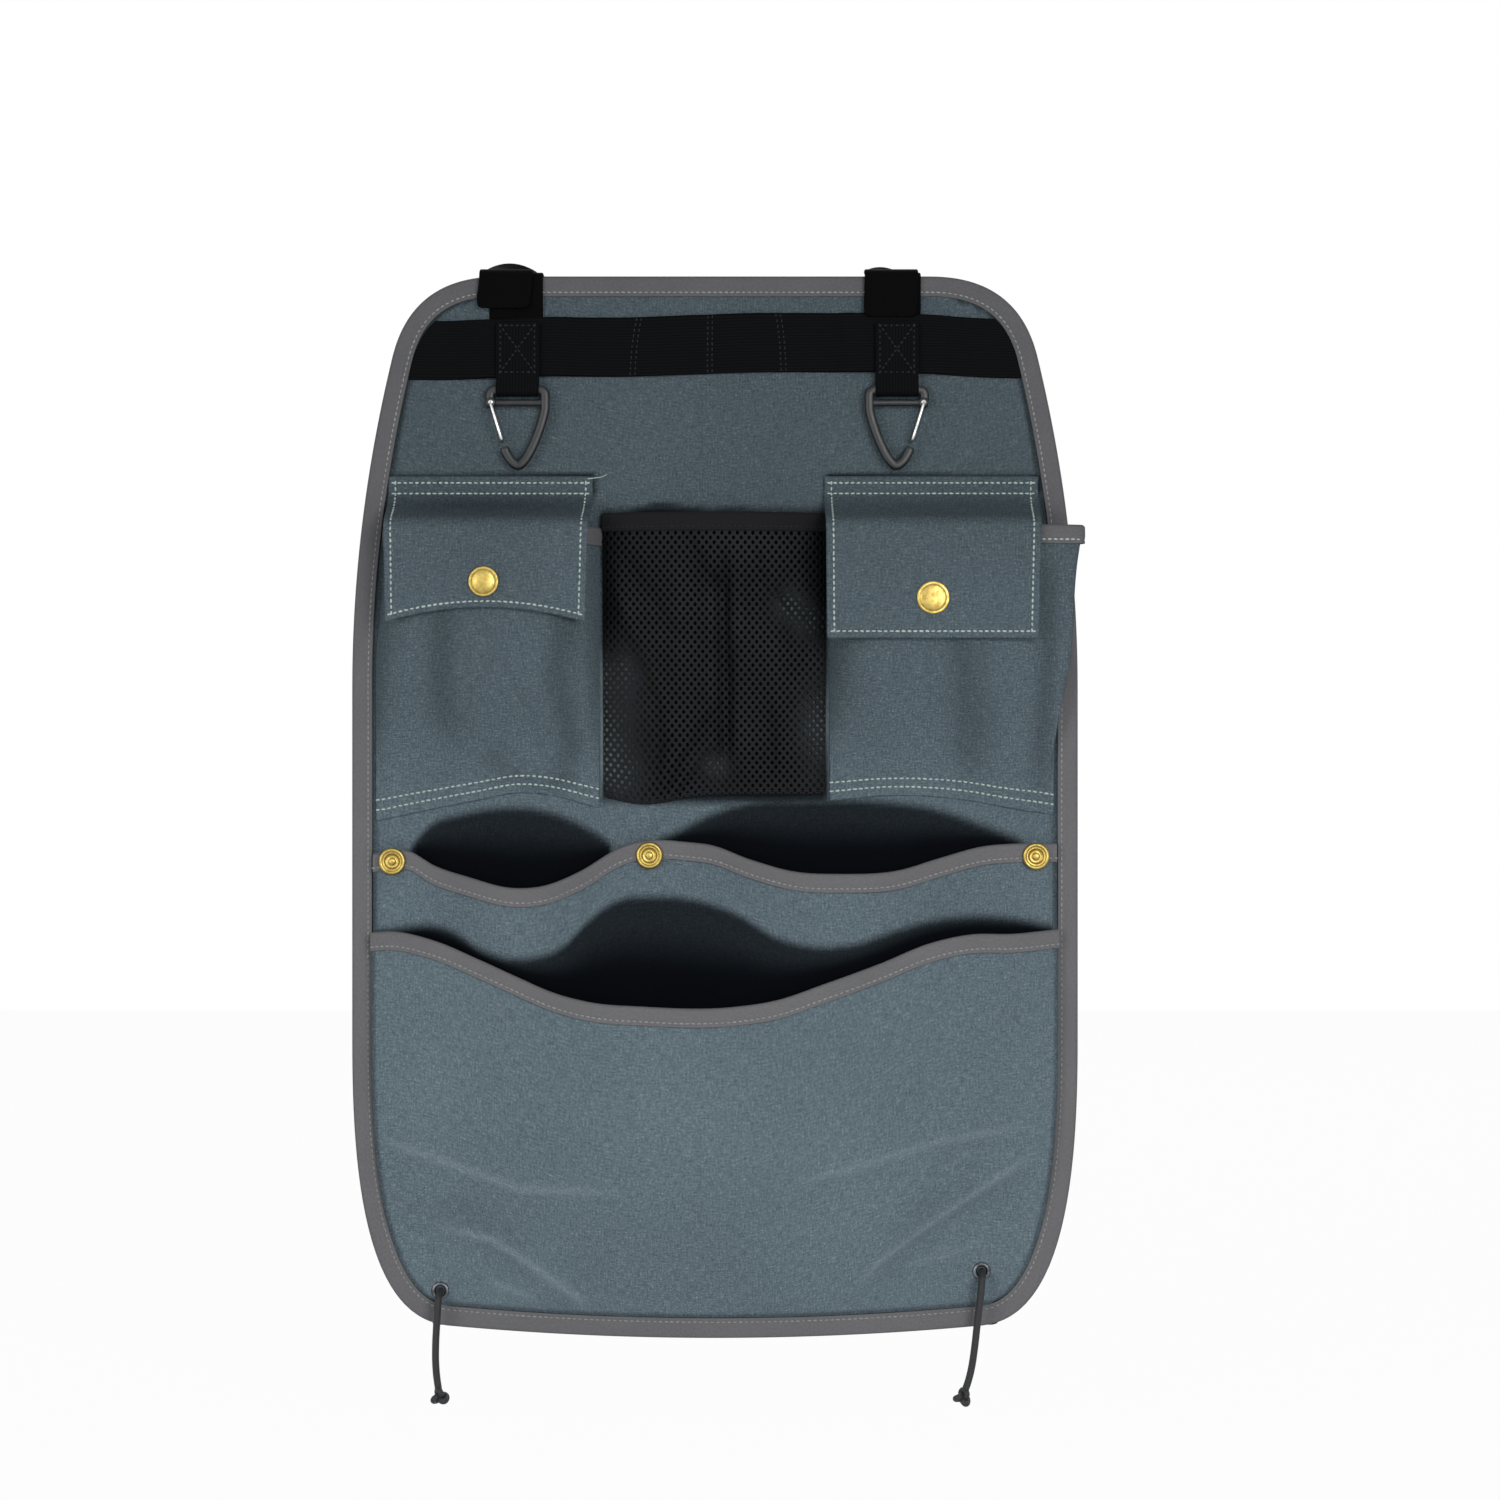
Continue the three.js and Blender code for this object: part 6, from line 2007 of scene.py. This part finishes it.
@dataclass
class MiddlePocket:
    """Two compartments held to the panel by three ring snaps."""

    bottom_drop: float = 462.0
    depth: float = 20.0
    stand: float = 5.2
    edge: float = 190.3
    divider: float = -36.4
    snaps: tuple[tuple[str, float, float], ...] = (
        ("left", -179.5, -327.0), ("centre", -36.4, -323.7), ("right", 178.7, -324.2))
    snap_radius: float = 7.5
    snap_height: float = 2.4
    post: float = 1.9
    stud_height: float = 2.4

    def compartment(self, x: np.ndarray) -> np.ndarray:
        """0 at the snaps and 1 in the middle of each compartment."""
        out = np.zeros_like(x)
        for (_, a, _), (_, b, _) in zip(self.snaps, self.snaps[1:]):
            start, end = a + self.snap_radius, b - self.snap_radius
            inside = (x > start) & (x < end)
            out += np.where(inside, np.sin(math.pi * (x - start) / (end - start)) ** 2, 0)
        return out

    def surface(self, u: np.ndarray, v: np.ndarray) -> np.ndarray:
        """Middle layer of the pocket's cloth."""
        x = lerp(-1, 1, u) * self.edge
        held = smooth(self.edge - np.abs(x), 0, self.snap_radius)
        stand = lerp(self.stand / 2, self.stand, held)
        room = self.compartment(x)
        swell = (stand + self.depth * room) * (1 - v**2)
        rim = flow(MIDDLE_RIM, x) - LAYOUT.clearance - LAYOUT.tape
        z = lerp(rim, -self.bottom_drop, v)
        free = smooth(v, 0.03, 0.25) * (1 - smooth(v, 0.85, 1)) * smooth(self.edge - np.abs(x), 2, 25)
        seam = np.exp(-(((x - self.divider) / 5.0) ** 2)) * smooth(v, 0.05, 0.15)
        soft = 0.9 * folds(x, z, 75, 0.55, 2.4) + 0.5 * folds(x, z, 38, -0.7, 0.6)
        y = -LAYOUT.cloth_front - swell - free * soft + 1.2 * seam
        return triples(x, y, z)

    def marks(self, grid: np.ndarray) -> dict[str, np.ndarray]:
        """Shade in the mouth of the lower pocket and beside the binding."""
        x = grid[..., 0]
        return {PAINTED_SHADE: np.maximum(LOWER_MOUTH.shade(x, grid[..., 2]), tucked(self.edge - np.abs(x)))}

    def ring_snap(self, name: str, x: float, z: float, finishes: Finishes) -> None:
        """A ring snap with its dish and post, and the stud behind it."""
        cloth = LAYOUT.cloth_front + self.stand
        face = -cloth - LAYOUT.cloth / 2 - 1.5 * LAYOUT.clearance - LAYOUT.tape
        r, h, p = self.snap_radius, self.snap_height, self.post
        ring = [(0.0, 0.0), (0.96 * r, 0.0), (r, 0.12 * h), (r, 0.42 * h), (0.97 * r, 0.66 * h),
                (0.92 * r, 0.84 * h), (0.86 * r, 0.92 * h), (0.8 * r, 0.9 * h), (0.74 * r, 0.76 * h),
                (0.7 * r, 0.6 * h),
                (0.66 * r, 0.56 * h), (0.62 * r, 0.62 * h), (0.58 * r, 0.5 * h), (0.52 * r, 0.26 * h),
                (0.4 * r, 0.14 * h), (1.25 * p, 0.14 * h), (1.05 * p, 0.22 * h), (p, 0.5 * h),
                (1.06 * p, 0.72 * h), (0.95 * p, 0.9 * h), (0.6 * p, 1.0 * h), (0.0, 1.03 * h)]
        draft = turned(ring, x, face - 0.05, z, 64)
        fitting(draft, f"{name}_ring_snap", finishes.brass, "brass", f"{name}_rim_snap", sharp=70)
        s = self.stud_height
        stud = [(0, 0), (0.78 * r, 0), (0.8 * r, 0.08 * s), (0.8 * r, 0.24 * s), (0.76 * r, 0.3 * s),
                (0.5 * r, 0.45 * s), (0.45 * r, 0.6 * s), (0.45 * r, 0.9 * s), (0.4 * r, s), (0, s)]
        draft = turned(stud, x, -LAYOUT.panel - LAYOUT.clearance, z)
        fitting(draft, f"{name}_wall_stud", finishes.brass, "brass", f"{name}_rim_stud")

    def build(self, finishes: Finishes) -> None:
        """Cloth, tape, stitches and snaps."""
        cloth = Cloth(self.surface, LAYOUT.cloth, np.linspace(0, 1, 260), np.linspace(0, 1, 84), self.marks)
        lay(cloth, "middle_pocket_cloth", finishes.canvas, "canvas", "middle_pocket")
        seams = Seams("middle_pocket_stitches", pitch=3.2, length=2.5, width=0.9, height=0.7)
        name = "middle_pocket"
        seams.add(tape_rim(self.surface, 220, f"{name}_tape", finishes.tape, "binding", f"{name}_binding"))
        seams.sew(finishes.grey_thread, "binding")
        divide = Seams("divider_stitches", pitch=3.6, length=1.7, width=0.5, height=0.3)
        u = np.full(30, 0.5 + self.divider / (2 * self.edge))
        divide.add(cloth.seam(u, np.linspace(0.1, 0.97, 30), -0.15))
        divide.sew(finishes.dark_thread, "binding")
        for name, x, z in self.snaps:
            self.ring_snap(name, x, z, finishes)


@dataclass
class LowerPocket:
    """The wide pocket across the bottom, with folds that run to its grommets."""

    rim_drop: float = 366.0
    depth: float = 30.0
    stand: float = 5.4
    creases: tuple[Crease, ...] = (
        Crease(((-190, -480.5), (-153, -492), (-107, -508), (-38, -510)), 2.2, 8, 0.3),
        Crease(((-163, -529), (-124, -538), (-101, -552), (-76, -571), (-70, -580)), 2.2, 6, 0.34),
        Crease(((-130, -560), (-110, -568), (-95, -575)), 1.4, 5, 0.2),
        Crease(((186.5, -472.6), (123.8, -481.6), (83.4, -493.9), (30, -508)), 2.0, 8, 0.26),
        Crease(((186.5, -483.8), (153, -506), (122, -528), (91.3, -549.9), (74.5, -568.4)), 2.2, 6, 0.34),
        Crease(((153, -538.7), (122, -549.9), (104, -553)), 1.6, 5, 0.18),
    )

    def surface(self, u: np.ndarray, v: np.ndarray) -> np.ndarray:
        """Middle layer of the pocket's cloth."""
        inset = LAYOUT.inner_inset
        side = 2 * u - 1
        level = lerp(-self.rim_drop, float(LAYOUT.bottom(np.array(LAYOUT.bottom_flat))) + inset, v)
        x = side * LAYOUT.inner_edge(level)
        across = 1 - np.abs(side) ** 2.5
        rim = flow(LOWER_RIM, x) - LAYOUT.clearance - LAYOUT.tape
        z = lerp(rim, LAYOUT.bottom(x) + inset, v)
        near = np.min([np.hypot(x - a, z - b) for a, b in zip(LAYOUT.grommet_x, LAYOUT.grommet_z)], axis=0)
        free = smooth(near, 25, 60)
        swell = (self.stand + self.depth * across) * (1 - v**2) * free
        loose = smooth(v, 0.04, 0.25) * (1 - smooth(v, 0.93, 1)) * smooth(1 - np.abs(side), 0.01, 0.12)
        soft = 0.9 * folds(x, z, 110, 0.9, 3.1) + 0.45 * folds(x, z, 46, -0.5, 1.1)
        height = sum(crease.height(x, z) for crease in self.creases)
        calm = smooth(near, 7, 14)
        y = -LAYOUT.cloth_front - swell - loose * (0.6 + 0.4 * free) * soft * calm - loose * height * calm
        return triples(x, np.minimum(y, -LAYOUT.cloth_front), z)

    def marks(self, grid: np.ndarray) -> dict[str, np.ndarray]:
        """Rubbed lines on the creases, and shade beside the binding."""
        x, z = grid[..., 0], grid[..., 2]
        above = z - LAYOUT.bottom(x) - LAYOUT.inner_inset
        shade = tucked(np.minimum(LAYOUT.inner_edge(z) - np.abs(x), above), 0.5)
        return {WEAR_AND_PAINTED_LIGHT: np.clip(sum(crease.wear_and_painted_tone(x, z) for crease in self.creases), 0, 1), PAINTED_SHADE: shade}

    def build(self, finishes: Finishes) -> None:
        """Cloth, tape and stitches."""
        cloth = Cloth(self.surface, LAYOUT.cloth, np.linspace(0, 1, 270), np.linspace(0, 1, 150), self.marks)
        lay(cloth, "lower_pocket_cloth", finishes.canvas, "canvas", "lower_pocket")
        seams = Seams("lower_pocket_stitches", pitch=3.2, length=2.5, width=0.9, height=0.7)
        name = "lower_pocket"
        seams.add(tape_rim(self.surface, 220, f"{name}_tape", finishes.tape, "binding", f"{name}_binding"))
        seams.sew(finishes.grey_thread, "binding")


@dataclass
class Grommet:
    """A rolled eyelet with its washer behind the panel."""

    side: Side
    x: float
    z: float
    radius: float = 5.0
    barrel: float = 3.3
    bore: float = 2.6
    flange: float = 1.1
    proud: float = 1.5

    def build(self, finishes: Finishes) -> None:
        """Eyelet and washer."""
        name = self.side.value
        face = -(LAYOUT.cloth_front + LAYOUT.cloth / 2) - LAYOUT.clearance
        depth = -face + self.proud
        f, r = self.flange, self.radius
        roll = [(self.bore, 0.5 * f), (self.bore + 0.35, 0.85 * f), (0.68 * r, f), (0.8 * r, 0.98 * f),
                (0.92 * r, 0.75 * f), (r, 0.35 * f), (r, 0.0), (self.barrel, 0.0), (self.barrel, -depth),
                (self.bore, -depth), (self.bore, 0.5 * f)]
        draft = turned(roll, self.x, face + 0.2, self.z)
        fitting(draft, f"{name}_eyelet", finishes.nickel, "nickel", f"{name}_grommet")
        inner, h = self.barrel + LAYOUT.clearance, self.proud - 2 * LAYOUT.clearance
        ring = [(inner, 0), (r, 0), (r, 0.6 * h), (0.93 * r, h), (inner + 0.2, h), (inner, 0.8 * h),
                (inner, 0)]
        draft = turned(ring, self.x, h + LAYOUT.clearance, self.z)
        fitting(draft, f"{name}_eyelet_washer", finishes.nickel, "nickel", f"{name}_grommet_washer")


def loose_thread(finishes: Finishes) -> None:
    """The end of thread that sticks out at the corner of the left flap."""
    points = [(-71, -4.6, -113.5), (-67.5, -5.2, -113.2), (-63.5, -5.4, -112.6), (-60.4, -5.0, -111.2)]
    path = rounded_path(points, 5)
    grow = np.linspace(1.0, 0.5, len(path))
    draft = sweep(path, np.array([0.0, 0.0, 1.0]), disc(0.32, 8), grow=grow)
    settle(draft.build("thread_end", finishes.thread), BODY, "binding")


def main() -> None:
    """Builds the stage and the organizer."""
    logging.basicConfig(level=logging.INFO, format="%(message)s")
    Studio().build()
    finishes = Finishes()
    for cord in CORDS:
        cord.build(finishes)
    Panel().build(finishes)
    HangingStraps().build(finishes)
    Carabiner(Side.LEFT, -110.0).build(finishes)
    Carabiner(Side.RIGHT, 101.5).build(finishes)
    for pouch in POUCHES:
        pouch.build(finishes)
    NetPocket().build(finishes)
    MiddlePocket().build(finishes)
    LowerPocket().build(finishes)
    for side, x, z in zip(Side, LAYOUT.grommet_x, LAYOUT.grommet_z):
        Grommet(side, x, z).build(finishes)
    loose_thread(finishes)


if __name__ == "__main__":
    main()
